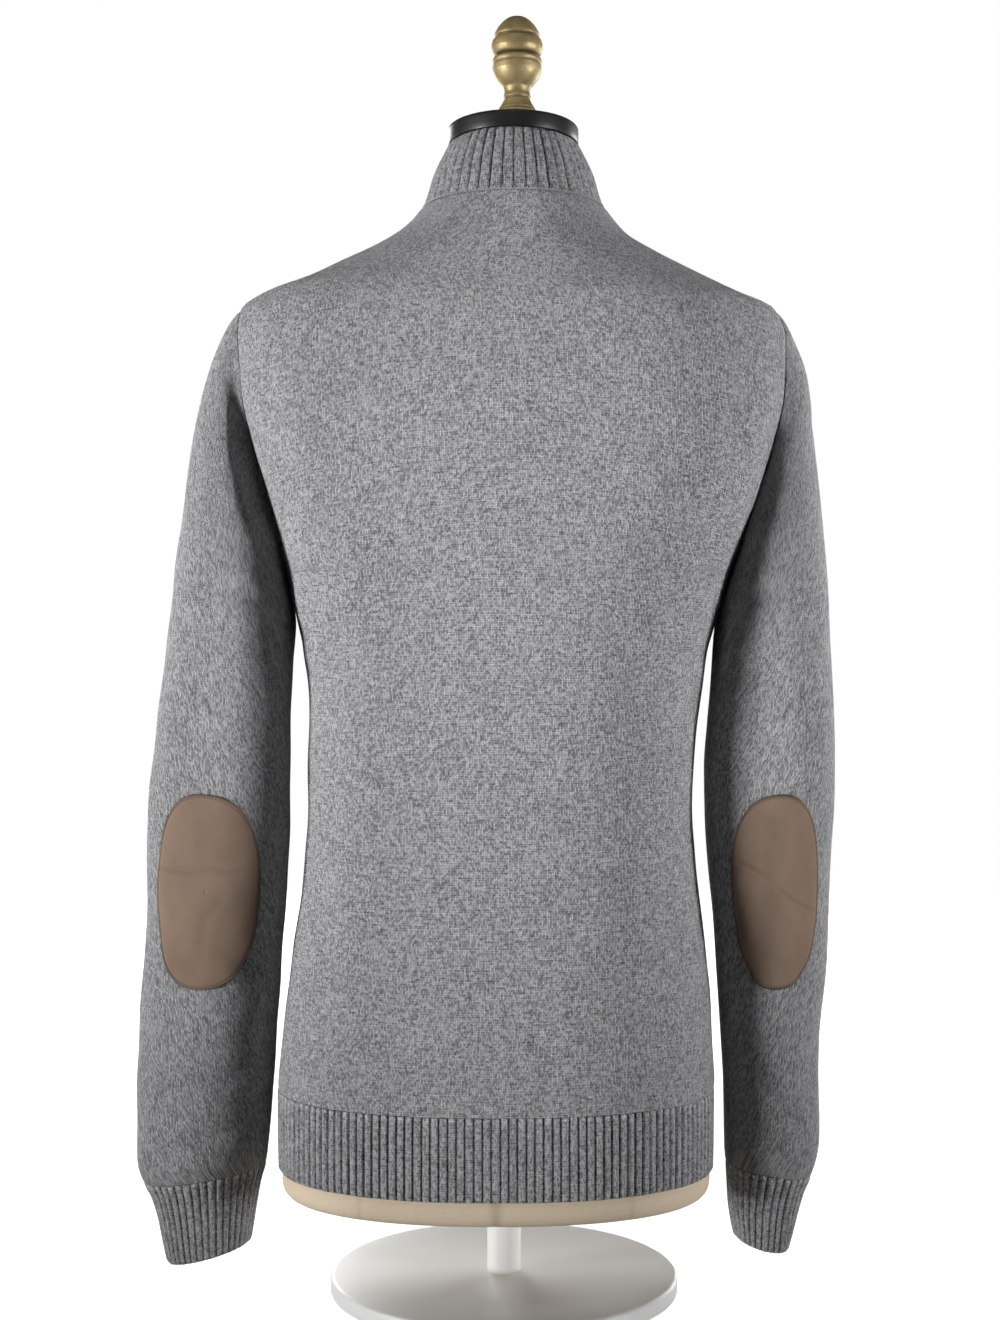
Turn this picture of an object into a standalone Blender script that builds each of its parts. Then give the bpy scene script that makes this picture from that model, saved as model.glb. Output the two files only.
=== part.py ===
"""Full-zip knitted sweater with a stand collar and elbow patches, worn on a limbless dress form.

Metres, +Z up. The garment's front faces -Y and the wearer's left is +X. The origin is the centre of the
stand's underside. Every panel is a thin wall whose outer face lies on one of three surfaces: the body
surface (rings from the hem to the neck seam), the collar surface, and one tube for each sleeve.
All table sizes are in millimetres.
"""
import math

import bpy
import numpy as np

MM = 0.001

# ---- driving sizes, mm ----
KNIT_WALL = 2.2          # plain knit panels
RIB_WALL = 2.6           # ribbed collar, hem and cuffs
PATCH_WALL = 1.2         # suede
SEAM_GAP = 0.3
FORM_CLEAR = 4.6         # form's skin below the garment's outer face, back and sides
FORM_CLEAR_FRONT = 9.0   # the same at centre front, where the zip tape lies between them
HEM_BOTTOM, HEM_TOP = 92.5, 151.5
ARMPIT, SHOULDER_TIP = 535.0, 733.0
ARMHOLE_BACK, ARMHOLE_FRONT = 47.0, 45.0   # half-depths of the armhole
COLLAR_HEIGHT = 48.0
ZIP_HALF = 6.0           # half the gap between the two fronts
TAPE_OUTER, TAPE_INNER, TAPE_REACH = 3.3, 4.1, 14.0
CHAIN_HALF, CHAIN_FACE, CHAIN_BACK = 2.3, 1.0, 3.0
PATCH_HALF_LENGTH, PATCH_HEIGHT = 71.5, 301.0      # half length and middle height of the elbow patches
PATCH_TURN = {1: math.radians(87.0), -1: math.radians(90.7)}          # their middles round the sleeve
PATCH_HALF_TURN = {1: math.radians(45.0), -1: math.radians(43.0)}     # and half widths
SLEEVE_CLEAR = 0.45      # least space between the hanging sleeve and the body
PATCH_LIFT = 1.0         # above the smooth sleeve, so that its facets clear the sleeve's by about 0.3
BASE_RADIUS, BASE_HEIGHT, POLE_RADIUS = 130.0, 12.0, 12.5
FORM_FOOT, NECK_TOP = 73.0, 857.4
CAP_BOTTOM, CAP_TOP, CAP_HALF_WIDTH, CAP_HALF_DEPTH = 857.8, 870.8, 49.3, 57.0
NECK_X, FINIAL_X = -6.7, -9.8


def columns(names, rows):
    """A table as one array for each named column."""
    return dict(zip(names, np.array(rows, float).T))


# Body surface, a row for each ring. z_back and z_front are the ring's heights at centre back and centre
# front, centre is its middle across the body, and the rest are its half sizes and its roundness.
BODY = columns(("z_back", "z_front", "centre", "left", "right", "back", "front", "power"), (
    (74.0, 74.0, 6.0, 161.5, 161.5, 113.0, 112.0, 2.25),
    (92.5, 92.5, 6.0, 162.5, 162.5, 113.5, 113.0, 2.25),
    (151.5, 151.5, 6.0, 163.0, 163.0, 112.5, 113.5, 2.25),
    (200.0, 200.0, 4.5, 160.0, 160.0, 109.0, 112.5, 2.25),
    (260.0, 260.0, 3.0, 154.0, 154.0, 104.0, 111.0, 2.2),
    (320.0, 320.0, 2.5, 146.5, 146.5, 99.5, 110.0, 2.2),
    (366.0, 366.0, 3.0, 144.0, 144.0, 97.5, 110.0, 2.2),
    (411.0, 411.0, 1.5, 145.0, 145.0, 98.5, 111.0, 2.2),
    (456.0, 456.0, -1.0, 148.0, 147.5, 102.5, 114.0, 2.2),
    (505.0, 505.0, -2.5, 159.0, 157.0, 108.5, 119.0, 2.25),
    (535.0, 535.0, -3.0, 165.0, 166.0, 112.0, 122.0, 2.3),
    (565.0, 565.0, -4.0, 175.5, 178.5, 115.0, 124.5, 2.35),
    (600.0, 600.0, -5.0, 189.0, 193.0, 117.5, 127.0, 2.4),
    (635.0, 635.0, -5.0, 201.0, 204.0, 118.5, 127.5, 2.4),
    (670.0, 670.0, -5.0, 207.0, 210.0, 117.5, 124.0, 2.35),
    (705.0, 705.0, -5.0, 207.5, 209.0, 112.0, 117.0, 2.25),
    (733.0, 729.0, -5.0, 202.0, 197.0, 104.5, 108.0, 2.12),
    (742.5, 736.0, -5.0, 190.0, 176.5, 100.0, 104.0, 2.06),
    (757.0, 744.0, -5.0, 152.5, 144.0, 93.0, 99.5, 2.0),
    (772.0, 752.0, -5.5, 119.0, 114.5, 85.5, 95.0, 2.0),
    (787.5, 759.0, -6.0, 89.5, 88.5, 78.5, 91.0, 2.0),
    (799.0, 763.5, -6.5, 77.0, 77.5, 74.0, 88.5, 2.0),
    (809.0, 767.0, -7.0, 68.5, 68.5, 70.5, 86.5, 2.0),
))

# Collar surface, rows by the share of its height. Its top edge rolls inwards.
COLLAR = columns(("share", "half_width", "back", "front"), (
    (0.00, 67.8, 70.2, 86.2),
    (0.20, 64.4, 68.8, 82.0),
    (0.45, 61.0, 67.2, 77.0),
    (0.70, 55.8, 65.2, 72.2),
    (0.85, 52.0, 63.6, 69.8),
    (0.95, 49.6, 62.2, 68.2),
    (1.00, 48.4, 61.2, 67.4),
))

# Sleeve tubes, a row for each ring from the armhole down. outer and inner are the ring's points farthest
# from and nearest to the body, as distance from the middle plane and height; back and front are half depths.
SLEEVE_COLUMNS = ("outer_x", "outer_z", "inner_x", "inner_z", "middle_y", "back", "front", "power")
SLEEVE_LEFT = columns(SLEEVE_COLUMNS, (
    (203.0, 730.0, 163.0, 533.0, 0.0, 47.0, 45.0, 2.0),
    (213.5, 716.0, 160.0, 523.0, 0.5, 48.0, 47.0, 2.0),
    (225.0, 676.0, 157.5, 512.0, 1.0, 50.0, 49.0, 2.0),
    (233.0, 637.0, 155.8, 500.0, 1.5, 51.0, 50.0, 2.0),
    (240.5, 585.0, 157.0, 486.0, 2.0, 51.0, 50.0, 2.05),
    (246.5, 540.0, 158.8, 468.0, 2.5, 49.5, 49.0, 2.05),
    (251.5, 488.0, 159.6, 444.0, 3.0, 47.5, 47.0, 2.1),
    (257.0, 450.0, 160.2, 420.0, 3.5, 45.5, 45.0, 2.1),
    (262.5, 402.0, 160.4, 384.0, 4.0, 43.5, 43.0, 2.1),
    (266.5, 360.0, 160.8, 350.0, 4.5, 42.0, 41.0, 2.1),
    (267.3, 320.0, 162.0, 316.0, 4.5, 40.5, 40.0, 2.1),
    (267.8, 280.0, 164.4, 278.0, 4.0, 39.0, 38.5, 2.1),
    (271.5, 230.0, 167.6, 230.0, 3.0, 37.5, 37.0, 2.1),
    (274.3, 180.0, 171.4, 182.0, 1.5, 36.5, 36.0, 2.1),
    (276.4, 130.0, 175.0, 134.0, -1.0, 36.5, 36.0, 2.1),
    (275.8, 98.0, 177.6, 104.0, -2.0, 36.5, 36.0, 2.1),
    (271.0, 78.0, 179.4, 92.5, -3.0, 34.0, 33.5, 2.1),
    (265.6, 67.0, 183.4, 78.5, -3.5, 31.5, 31.0, 2.1),
    (261.0, 52.5, 186.6, 61.0, -4.0, 30.0, 29.5, 2.1),
    (257.6, 35.0, 189.0, 46.0, -4.5, 29.0, 28.5, 2.1),
    (254.0, 17.5, 191.2, 33.0, -5.0, 28.5, 28.0, 2.1),
))
LEFT_CUFF_ROW = 16       # the ring that ends the sleeve and starts the cuff
SLEEVE_RIGHT = columns(SLEEVE_COLUMNS, (
    (203.0, 730.0, 168.0, 533.0, 0.0, 47.0, 45.0, 2.0),
    (212.5, 722.0, 163.0, 523.0, 0.5, 48.0, 47.0, 2.0),
    (226.0, 688.0, 160.0, 512.0, 1.0, 50.0, 49.0, 2.0),
    (231.5, 645.0, 158.6, 500.0, 1.5, 51.0, 50.0, 2.0),
    (236.5, 600.0, 157.4, 488.0, 2.0, 51.0, 50.0, 2.05),
    (240.5, 550.0, 156.6, 472.0, 2.5, 49.5, 49.0, 2.05),
    (244.0, 500.0, 155.2, 450.0, 3.0, 48.0, 47.0, 2.1),
    (246.3, 455.0, 152.6, 424.0, 3.5, 46.5, 45.5, 2.1),
    (247.6, 405.0, 149.9, 390.0, 4.0, 45.0, 44.5, 2.1),
    (247.2, 366.0, 150.6, 356.0, 4.5, 43.5, 43.0, 2.1),
    (245.2, 325.0, 153.0, 320.0, 4.5, 42.0, 41.5, 2.1),
    (243.2, 285.0, 156.4, 282.0, 4.0, 40.0, 39.5, 2.1),
    (241.2, 240.0, 159.4, 238.0, 3.0, 38.0, 37.5, 2.1),
    (237.2, 190.0, 162.9, 190.0, 1.5, 37.0, 36.5, 2.1),
    (236.4, 150.0, 165.2, 152.0, -1.0, 36.5, 36.0, 2.1),
    (236.8, 112.0, 165.6, 116.0, -2.0, 36.5, 36.0, 2.1),
    (231.0, 84.0, 167.0, 94.0, -3.0, 34.0, 33.5, 2.1),
    (225.6, 70.5, 168.2, 78.0, -3.5, 31.0, 30.5, 2.1),
    (221.6, 56.0, 169.2, 64.0, -4.0, 29.5, 29.0, 2.1),
    (218.2, 42.0, 171.4, 48.0, -4.5, 28.5, 28.0, 2.1),
    (214.2, 27.5, 174.0, 36.0, -5.0, 28.0, 27.5, 2.1),
))
RIGHT_CUFF_ROW = 16

# Deep crease where the hanging sleeve meets the body, behind (1) and in front (-1) of each arm: its depth
# by height, and the seam's distance from the middle plane by height.
CREASE_HEIGHTS = (548.0, 575.0, 602.0, 632.0, 660.0, 692.0)
CREASE_DEPTHS = (0.0, 7.0, 12.5, 13.0, 7.5, 0.0)
CREASE_SEAM = (162.0, 173.0, 180.0, 187.0, 192.0, 197.5)
CREASE_SHARE = {(1, 1): 1.0, (-1, 1): 0.8, (1, -1): 0.6, (-1, -1): 0.6}
CREASE_BODY, CREASE_SLEEVE = 8.5, 11.0      # its half widths on each side of the seam

# Turned profile of the finial, top down.
FINIAL = columns(("height", "radius"), (
    (955.2, 0.0), (954.7, 4.4), (952.6, 8.8), (949.2, 12.4), (945.0, 15.4), (941.6, 16.9), (940.2, 17.0), (939.4, 16.5),
    (938.4, 17.2), (936.8, 18.4), (934.0, 19.2), (931.2, 19.4), (928.4, 18.8), (926.2, 17.8), (925.0, 17.2), (923.6, 17.9),
    (922.0, 18.7), (920.4, 18.6), (919.2, 18.2), (917.6, 18.5), (914.6, 18.5), (911.4, 17.6), (907.6, 15.6), (904.2, 12.9),
    (902.6, 11.2), (901.4, 10.4), (897.0, 9.9), (894.4, 10.3), (893.2, 9.9), (891.6, 10.3), (888.6, 11.8), (885.6, 13.8),
    (883.4, 15.0), (880.0, 15.6), (874.0, 16.2), (871.1, 16.2), (871.1, 0.0),
))


def smooth(xs, ys, x):
    """A curve through the table's points that keeps their order (monotone cubic), straight past its ends."""
    xs, ys, x = np.asarray(xs, float), np.asarray(ys, float), np.asarray(x, float)
    h = np.diff(xs)
    slope = np.diff(ys) / h
    m = np.zeros(len(xs))
    same = slope[:-1] * slope[1:] > 0
    w1, w2 = 2 * h[1:] + h[:-1], h[1:] + 2 * h[:-1]
    safe = np.where(same, slope[:-1] * slope[1:], 1.0)
    m[1:-1] = np.where(same, (w1 + w2) * safe / (w1 * slope[1:] + w2 * slope[:-1] + 1e-12), 0.0)
    m[0], m[-1] = slope[0], slope[-1]
    i = np.clip(np.searchsorted(xs, x) - 1, 0, len(h) - 1)
    t = (x - xs[i]) / h[i]
    tc = np.clip(t, 0, 1)
    y = (ys[i] * (1 + 2 * tc) * (1 - tc) ** 2 + m[i] * h[i] * tc * (1 - tc) ** 2
         + ys[i + 1] * tc ** 2 * (3 - 2 * tc) + m[i + 1] * h[i] * tc ** 2 * (tc - 1))
    return y + np.where(t < 0, t * h[i] * m[0], 0) + np.where(t > 1, (t - 1) * h[i] * m[-1], 0)


def ease(t):
    t = np.clip(t, 0, 1)
    return t * t * (3 - 2 * t)


def ring(turn, z_back, z_front, centre, left, right, back, front, power):
    """A point of a body ring. turn is 0 at centre back, 90 degrees at the left side, 180 at centre front."""
    c, s = np.cos(turn), np.sin(turn)
    x = centre + np.where(s > 0, left, right) * np.sign(s) * np.abs(s) ** (2 / power)
    y = np.where(c > 0, back, front) * np.sign(c) * np.abs(c) ** (2 / power)
    return np.stack([x, y, z_back + (z_front - z_back) * ease(-c)], -1)


def plain_body(turn, level):
    cols = [smooth(BODY["z_back"], BODY[k], level)
            for k in ("z_front", "centre", "left", "right", "back", "front", "power")]
    return ring(turn, level, *cols)


def creased(p):
    """Points moved into the crease between body and sleeve."""
    x, y, z = p[..., 0], p[..., 1], p[..., 2]
    arm = np.where(x > 0, 1, -1)
    seam = smooth(CREASE_HEIGHTS, CREASE_SEAM, z) + np.where(x > 0, 0.0, 11.0)
    depth = np.where((z > CREASE_HEIGHTS[0]) & (z < CREASE_HEIGHTS[-1]), smooth(CREASE_HEIGHTS, CREASE_DEPTHS, z), 0.0)
    share = np.where(y > 0, np.where(arm > 0, CREASE_SHARE[1, 1], CREASE_SHARE[-1, 1]), CREASE_SHARE[1, -1])
    past = np.abs(x) - seam
    width = np.where(past < 0, CREASE_BODY, CREASE_SLEEVE)
    move = depth * share * np.exp(-(past / width) ** 2) * ease((np.abs(y) - 8.0) / 22.0)
    return np.stack([x, y - np.sign(y) * move, z], -1)


def body(turn, level):
    return creased(plain_body(turn, level))


def collar(turn, share):
    half, back, front = (smooth(COLLAR["share"], COLLAR[k], share) for k in ("half_width", "back", "front"))
    z = 809.0 + SEAM_GAP + COLLAR_HEIGHT * share
    drop = 42.0 - 2.0 * share
    return ring(turn, z, z - drop, -7.0, half, half, back, front, 2.0 + 0 * half)


def turn_at_y(level, y, side):
    """Where the body ring at this level has this y, on the left (side 1) or the right (side -1)."""
    back, front, power = (smooth(BODY["z_back"], BODY[k], level) for k in ("back", "front", "power"))
    c = np.where(y > 0, 1, -1) * np.abs(y / np.where(y > 0, back, front)) ** (power / 2)
    return side * np.arccos(np.clip(c, -1, 1))


def beside_body(y, z, side):
    """How far the body surface reaches sideways at this y and height."""
    f = {k: smooth(BODY["z_back"], BODY[k], np.minimum(z, 733.0)) for k in ("centre", "left", "right", "back", "front", "power")}
    share = np.clip(np.abs(y) / np.where(y > 0, f["back"], f["front"]), 0, 0.98)
    half = f["left"] if side > 0 else f["right"]
    return side * f["centre"] + half * (1 - share ** f["power"]) ** (1 / f["power"])


def turn_at_zip(surface, v, offset):
    """Where the surface's front is this far to the left of its centre line."""
    if surface is body:
        half, power = smooth(BODY["z_back"], BODY["left"], v), smooth(BODY["z_back"], BODY["power"], v)
    else:
        half, power = smooth(COLLAR["share"], COLLAR["half_width"], v), 2.0
    return math.pi - np.sign(offset) * np.arcsin(np.abs(offset / half) ** (power / 2))


def normal(surface, a, b, da=0.03, db=1.0, low=-1e9, high=1e9):
    """Outward unit normal of a surface of two numbers."""
    u = surface(a + da, b) - surface(a - da, b)
    v = surface(a, np.minimum(b + db, high)) - surface(a, np.maximum(b - db, low))
    n = np.cross(u, v)
    return n / np.linalg.norm(n, axis=-1, keepdims=True)


def body_at(turn, level, inwards=0.0, surface=body):
    n = -normal(surface, turn, level, low=70.0, high=809.0)
    return surface(turn, level) - n * np.asarray(inwards)[..., None]


def collar_at(turn, share, inwards=0.0):
    n = -normal(collar, turn, share, db=0.03, low=0.0, high=1.0)
    return collar(turn, share) - n * np.asarray(inwards)[..., None]


def armhole(turn, side):
    """The armhole seam on the body surface: 0 at the shoulder, 90 degrees at its back, 180 at the armpit."""
    level = ARMPIT + (SHOULDER_TIP - ARMPIT) * (1 + np.cos(turn)) / 2
    s = np.sin(turn)
    y = np.where(s >= 0, ARMHOLE_BACK, ARMHOLE_FRONT) * np.sign(s) * np.abs(s) ** 0.85
    y = np.where(np.abs(y) < 1e-6, 1e-6, y)
    return plain_body(turn_at_y(level, y, side), level)


def sleeve_tube(table, side):
    """The outer surface of one sleeve: turn is 0 at its outer edge, 90 degrees at its back; row counts rings."""
    rows = np.arange(len(table["power"]))

    def surface(turn, row):
        f = {k: smooth(rows, table[k], row) for k in SLEEVE_COLUMNS}
        c, s = np.cos(turn), np.sin(turn)
        c = np.sign(c) * np.abs(c) ** (2 / f["power"])
        s = np.sign(s) * np.abs(s) ** (2 / f["power"])
        x = (f["outer_x"] + f["inner_x"]) / 2 + (f["outer_x"] - f["inner_x"]) / 2 * c
        z = (f["outer_z"] + f["inner_z"]) / 2 + (f["outer_z"] - f["inner_z"]) / 2 * c
        y = f["middle_y"] + np.where(s > 0, f["back"], f["front"]) * s
        tube = np.stack([side * x, y, z], -1)
        seam = armhole(turn, side) + np.array([side * 0.45, 0.0, 0.0])
        mix = ease(row / 2.2)[..., None]
        p = seam * (1 - mix) + tube * mix
        # where the sleeve hangs beside the body it stays clear of it
        clear = 0.45 + SLEEVE_CLEAR * ease(row / 1.0)
        least = beside_body(p[..., 1], p[..., 2], side) + clear
        soft = 2.0 * ease(row / 1.2) + 1e-3
        d = side * p[..., 0] - least
        x = least + (d + np.sqrt(d * d + soft * soft)) / 2
        p[..., 0] = side * np.where(row > 0, np.maximum(x, side * p[..., 0]), side * p[..., 0])
        return creased(p)

    return surface


def row_at(table, height):
    """The sleeve row whose middle is at this height."""
    middle = (table["outer_z"] + table["inner_z"]) / 2
    return np.interp(-np.asarray(height, float), -middle, np.arange(len(middle)))


def tube_at(surface, turn, row, side, inwards=0.0):
    last = 20.0
    n = -side * normal(surface, turn, row, da=0.05, db=0.2, low=0.0, high=last)
    return surface(turn, row) - n * np.asarray(inwards)[..., None]


# ---- solids ----
for old in list(bpy.data.objects):
    bpy.data.objects.remove(old, do_unlink=True)

MATERIALS = {}
for label, colour, roughness, metallic in (
        ("knit_grey", (0.30, 0.30, 0.31), 0.95, 0.0),
        ("rib_grey", (0.24, 0.24, 0.25), 0.95, 0.0),
        ("suede_taupe", (0.26, 0.19, 0.15), 0.95, 0.0),
        ("zip_tape", (0.10, 0.10, 0.11), 0.9, 0.0),
        ("zip_metal", (0.45, 0.44, 0.42), 0.3, 1.0),
        ("form_linen", (0.58, 0.50, 0.38), 0.85, 0.0),
        ("cap_black", (0.012, 0.012, 0.013), 0.12, 0.0),
        ("finial_brass", (0.42, 0.32, 0.17), 0.35, 1.0),
        ("stand_white", (0.80, 0.80, 0.80), 0.5, 0.0)):
    m = bpy.data.materials.new(label)
    m.use_nodes = True
    bsdf = m.node_tree.nodes["Principled BSDF"]
    bsdf.inputs["Base Color"].default_value = (*colour, 1.0)
    bsdf.inputs["Roughness"].default_value = roughness
    bsdf.inputs["Metallic"].default_value = metallic
    MATERIALS[label] = m


def add(name, points, faces, material, round_piece=True):
    """One closed solid from points in mm. Its faces are turned so that they point out."""
    p = np.asarray(points, float) * MM
    volume = 0.0
    for f in faces:
        for k in range(1, len(f) - 1):
            volume += np.dot(p[f[0]], np.cross(p[f[k]], p[f[k + 1]]))
    if volume < 0:
        faces = [tuple(reversed(f)) for f in faces]
    mesh = bpy.data.meshes.new(name)
    mesh.from_pydata([tuple(v) for v in p], [], faces)
    mesh.materials.append(MATERIALS[material])
    if round_piece:
        mesh.shade_smooth()
        mesh.set_sharp_from_angle(angle=math.radians(40))
    obj = bpy.data.objects.new(name, mesh)
    bpy.context.scene.collection.objects.link(obj)
    return obj


def triangles(a, b, c, d):
    return [(a, b, c), (a, c, d)]


def shell(name, outer, inner, material, wrap=False):
    """A cloth wall between two grids of points, closed along its edges."""
    rows, cols = outer.shape[:2]
    points = np.concatenate([outer.reshape(-1, 3), inner.reshape(-1, 3)])
    base = rows * cols
    faces = []
    steps = cols if wrap else cols - 1
    for i in range(rows - 1):
        for j in range(steps):
            k = (j + 1) % cols
            a, b, c, d = i * cols + j, i * cols + k, (i + 1) * cols + k, (i + 1) * cols + j
            faces += triangles(a, b, c, d)
            faces += triangles(base + a, base + d, base + c, base + b)
    for j in range(steps):
        k = (j + 1) % cols
        faces += triangles(j, base + j, base + k, k)
        t = (rows - 1) * cols
        faces += triangles(t + j, t + k, base + t + k, base + t + j)
    if not wrap:
        for i in range(rows - 1):
            a, b = i * cols, (i + 1) * cols
            faces += triangles(a, b, base + b, base + a)
            a, b = a + cols - 1, b + cols - 1
            faces += triangles(a, base + a, base + b, b)
    return add(name, points, faces, material)


def even_turns(start, stop, level, count):
    """Turns between two boundaries, evenly spaced along the ring, with one more close to each boundary."""
    t = np.linspace(start, stop, 161)
    p = plain_body(t, np.full_like(t, level))
    run = np.concatenate([[0], np.cumsum(np.linalg.norm(np.diff(p, axis=0), axis=1))])
    places = np.linspace(0, run[-1], count)
    near = 0.42 * places[1]
    return np.interp(np.concatenate([[0, near], places[1:-1], [run[-1] - near, run[-1]]]), run, t)


def panel_levels():
    """Ring levels of the body panels: even below the armpit, closer at both ends of the armhole."""
    low = np.linspace(HEM_TOP + SEAM_GAP, ARMPIT, 9)
    hole = ARMPIT + (SHOULDER_TIP - ARMPIT) * (1 - np.cos(np.linspace(0, math.pi, 10))) / 2
    high = np.array([742.5, 757.0, 772.0, 787.5, 799.0, 809.0])
    return np.concatenate([low, hole[1:], high])


def side_limit(level, side, face):
    """The panel's boundary at a level: side seam, armhole or shoulder seam. face is 1 for the back."""
    half_gap = SEAM_GAP / 2 + 0.02
    y = half_gap
    if ARMPIT < level < SHOULDER_TIP:
        c = 2 * (level - ARMPIT) / (SHOULDER_TIP - ARMPIT) - 1
        depth = ARMHOLE_BACK if face > 0 else ARMHOLE_FRONT
        y = max(half_gap, depth * math.sqrt(1 - c * c) ** 0.85)
    return float(turn_at_y(level, face * y, side))


def body_panel(name, levels, limits, count, wall, material):
    turns = np.array([even_turns(*limits(v), v, count) for v in levels])
    grid = np.repeat(np.asarray(levels)[:, None], count + 2, 1)
    shell(name, body_at(turns, grid), body_at(turns, grid, np.full_like(grid, wall)), material)


def back_limits(level):
    return side_limit(level, -1, 1), side_limit(level, 1, 1)


def front_limits(side):
    def limits(level):
        seam = side_limit(level, side, -1)
        edge = float(turn_at_zip(body, level, ZIP_HALF))
        return (seam, edge) if side > 0 else (-edge, seam)
    return limits


LEVELS = panel_levels()
HEM_LEVELS = np.linspace(HEM_BOTTOM, HEM_TOP, 3)
body_panel("back", LEVELS, back_limits, 23, KNIT_WALL, "knit_grey")
body_panel("front_left", LEVELS, front_limits(1), 12, KNIT_WALL, "knit_grey")
body_panel("front_right", LEVELS, front_limits(-1), 12, KNIT_WALL, "knit_grey")
body_panel("hem_rib_back", HEM_LEVELS, back_limits, 23, RIB_WALL, "rib_grey")
body_panel("hem_rib_front_left", HEM_LEVELS, front_limits(1), 12, RIB_WALL, "rib_grey")
body_panel("hem_rib_front_right", HEM_LEVELS, front_limits(-1), 12, RIB_WALL, "rib_grey")

# The stand collar runs round the back from one zip edge to the other.
shares = np.array([0.0, 0.25, 0.5, 0.75, 0.9, 1.0])
turns = np.array([np.linspace(-t, t, 34) for t in (float(turn_at_zip(collar, s, ZIP_HALF)) for s in shares)])
grid = np.repeat(shares[:, None], 34, 1)
shell("collar", collar_at(turns, grid), collar_at(turns, grid, np.full_like(grid, RIB_WALL)), "rib_grey")

# Sleeves, cuffs and elbow patches.
for word, side, table, cuff in (("left", 1, SLEEVE_LEFT, LEFT_CUFF_ROW), ("right", -1, SLEEVE_RIGHT, RIGHT_CUFF_ROW)):
    tube = sleeve_tube(table, side)
    turn = np.linspace(0, 2 * math.pi, 18, endpoint=False)   # its points meet those of the armhole
    rows = np.concatenate([[0, 0.7, 1.4, 2.2, 3.0], np.arange(4, cuff + 1)]).astype(float)
    rows[-1] -= 0.02
    a, b = np.meshgrid(turn, rows)
    shell("sleeve_" + word, tube_at(tube, a, b, side), tube_at(tube, a, b, side, np.full_like(a, KNIT_WALL)),
          "knit_grey", wrap=True)
    a, b = np.meshgrid(turn, np.array([cuff + 0.03, cuff + 1.0, cuff + 2.0, 20.0]))
    shell("cuff_" + word, tube_at(tube, a, b, side), tube_at(tube, a, b, side, np.full_like(a, RIB_WALL)),
          "rib_grey", wrap=True)
    # The patch is an oval of the sleeve's own points, moved out.
    spokes, rings = 22, (0.0, 0.27, 0.52, 0.77, 1.0)
    around = np.linspace(0, 2 * math.pi, spokes, endpoint=False)
    c, s = np.cos(around), np.sin(around)
    oval = (np.abs(c) ** 2.3 + np.abs(s) ** 2.3) ** (-1 / 2.3)
    share = np.concatenate([[0.0], np.repeat(rings[1:], spokes)])
    pts_turn = PATCH_TURN[side] + share * PATCH_HALF_TURN[side] * np.concatenate([[0.0], np.tile(oval * c, len(rings) - 1)])
    pts_row = row_at(table, PATCH_HEIGHT - share * PATCH_HALF_LENGTH * np.concatenate([[0.0], np.tile(oval * s, len(rings) - 1)]))
    top = tube_at(tube, pts_turn, pts_row, side, np.full_like(pts_turn, -PATCH_LIFT - PATCH_WALL))
    low = tube_at(tube, pts_turn, pts_row, side, np.full_like(pts_turn, -PATCH_LIFT))
    n, faces = len(top), []
    for j in range(spokes):
        k = (j + 1) % spokes
        faces += [(0, 1 + j, 1 + k), (n, n + 1 + k, n + 1 + j)]
        for r in range(len(rings) - 2):
            a0, a1 = 1 + r * spokes + j, 1 + r * spokes + k
            faces += triangles(a0, a0 + spokes, a1 + spokes, a1)
            faces += triangles(n + a0, n + a1, n + a1 + spokes, n + a0 + spokes)
        e0, e1 = 1 + (len(rings) - 2) * spokes + j, 1 + (len(rings) - 2) * spokes + k
        faces += triangles(e0, n + e0, n + e1, e1)
    add("elbow_patch_" + word, np.concatenate([top, low]), faces, "suede_taupe")


# ---- zip, up the centre front from the hem to the collar's top ----
def front_point(offset, along, inwards):
    """A point beside the centre-front line. along is 0 to 1 on the body and 1 to 2 on the collar."""
    if along <= 1:
        level = HEM_BOTTOM + (809.0 - HEM_BOTTOM) * along
        return body_at(np.array(turn_at_zip(body, level, offset)), np.array(level), np.array(inwards))
    share = min(along - 1, 1.0)
    return collar_at(np.array(turn_at_zip(collar, share, offset)), np.array(share), np.array(inwards))


ALONG = np.concatenate([np.linspace(0.004, 1.0, 20), [1.33, 1.66, 1.97]])


def strip(name, offsets, alongs, outer_in, inner_in, material):
    outer = np.array([[front_point(o, v, outer_in) for o in offsets] for v in alongs])
    inner = np.array([[front_point(o, v, inner_in) for o in offsets] for v in alongs])
    shell(name, outer, inner, material)


strip("zip_tape_left", (0.16, 7.0, TAPE_REACH), ALONG, TAPE_OUTER, TAPE_INNER, "zip_tape")
strip("zip_tape_right", (-TAPE_REACH, -7.0, -0.16), ALONG, TAPE_OUTER, TAPE_INNER, "zip_tape")
strip("zip_chain", (-CHAIN_HALF, CHAIN_HALF), np.concatenate([[0.0165], ALONG[1:]]), CHAIN_FACE, CHAIN_BACK, "zip_metal")
strip("zip_box", (-3.2, 3.2), (0.0045, 0.0155), 0.4, 3.0, "zip_metal")

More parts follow.
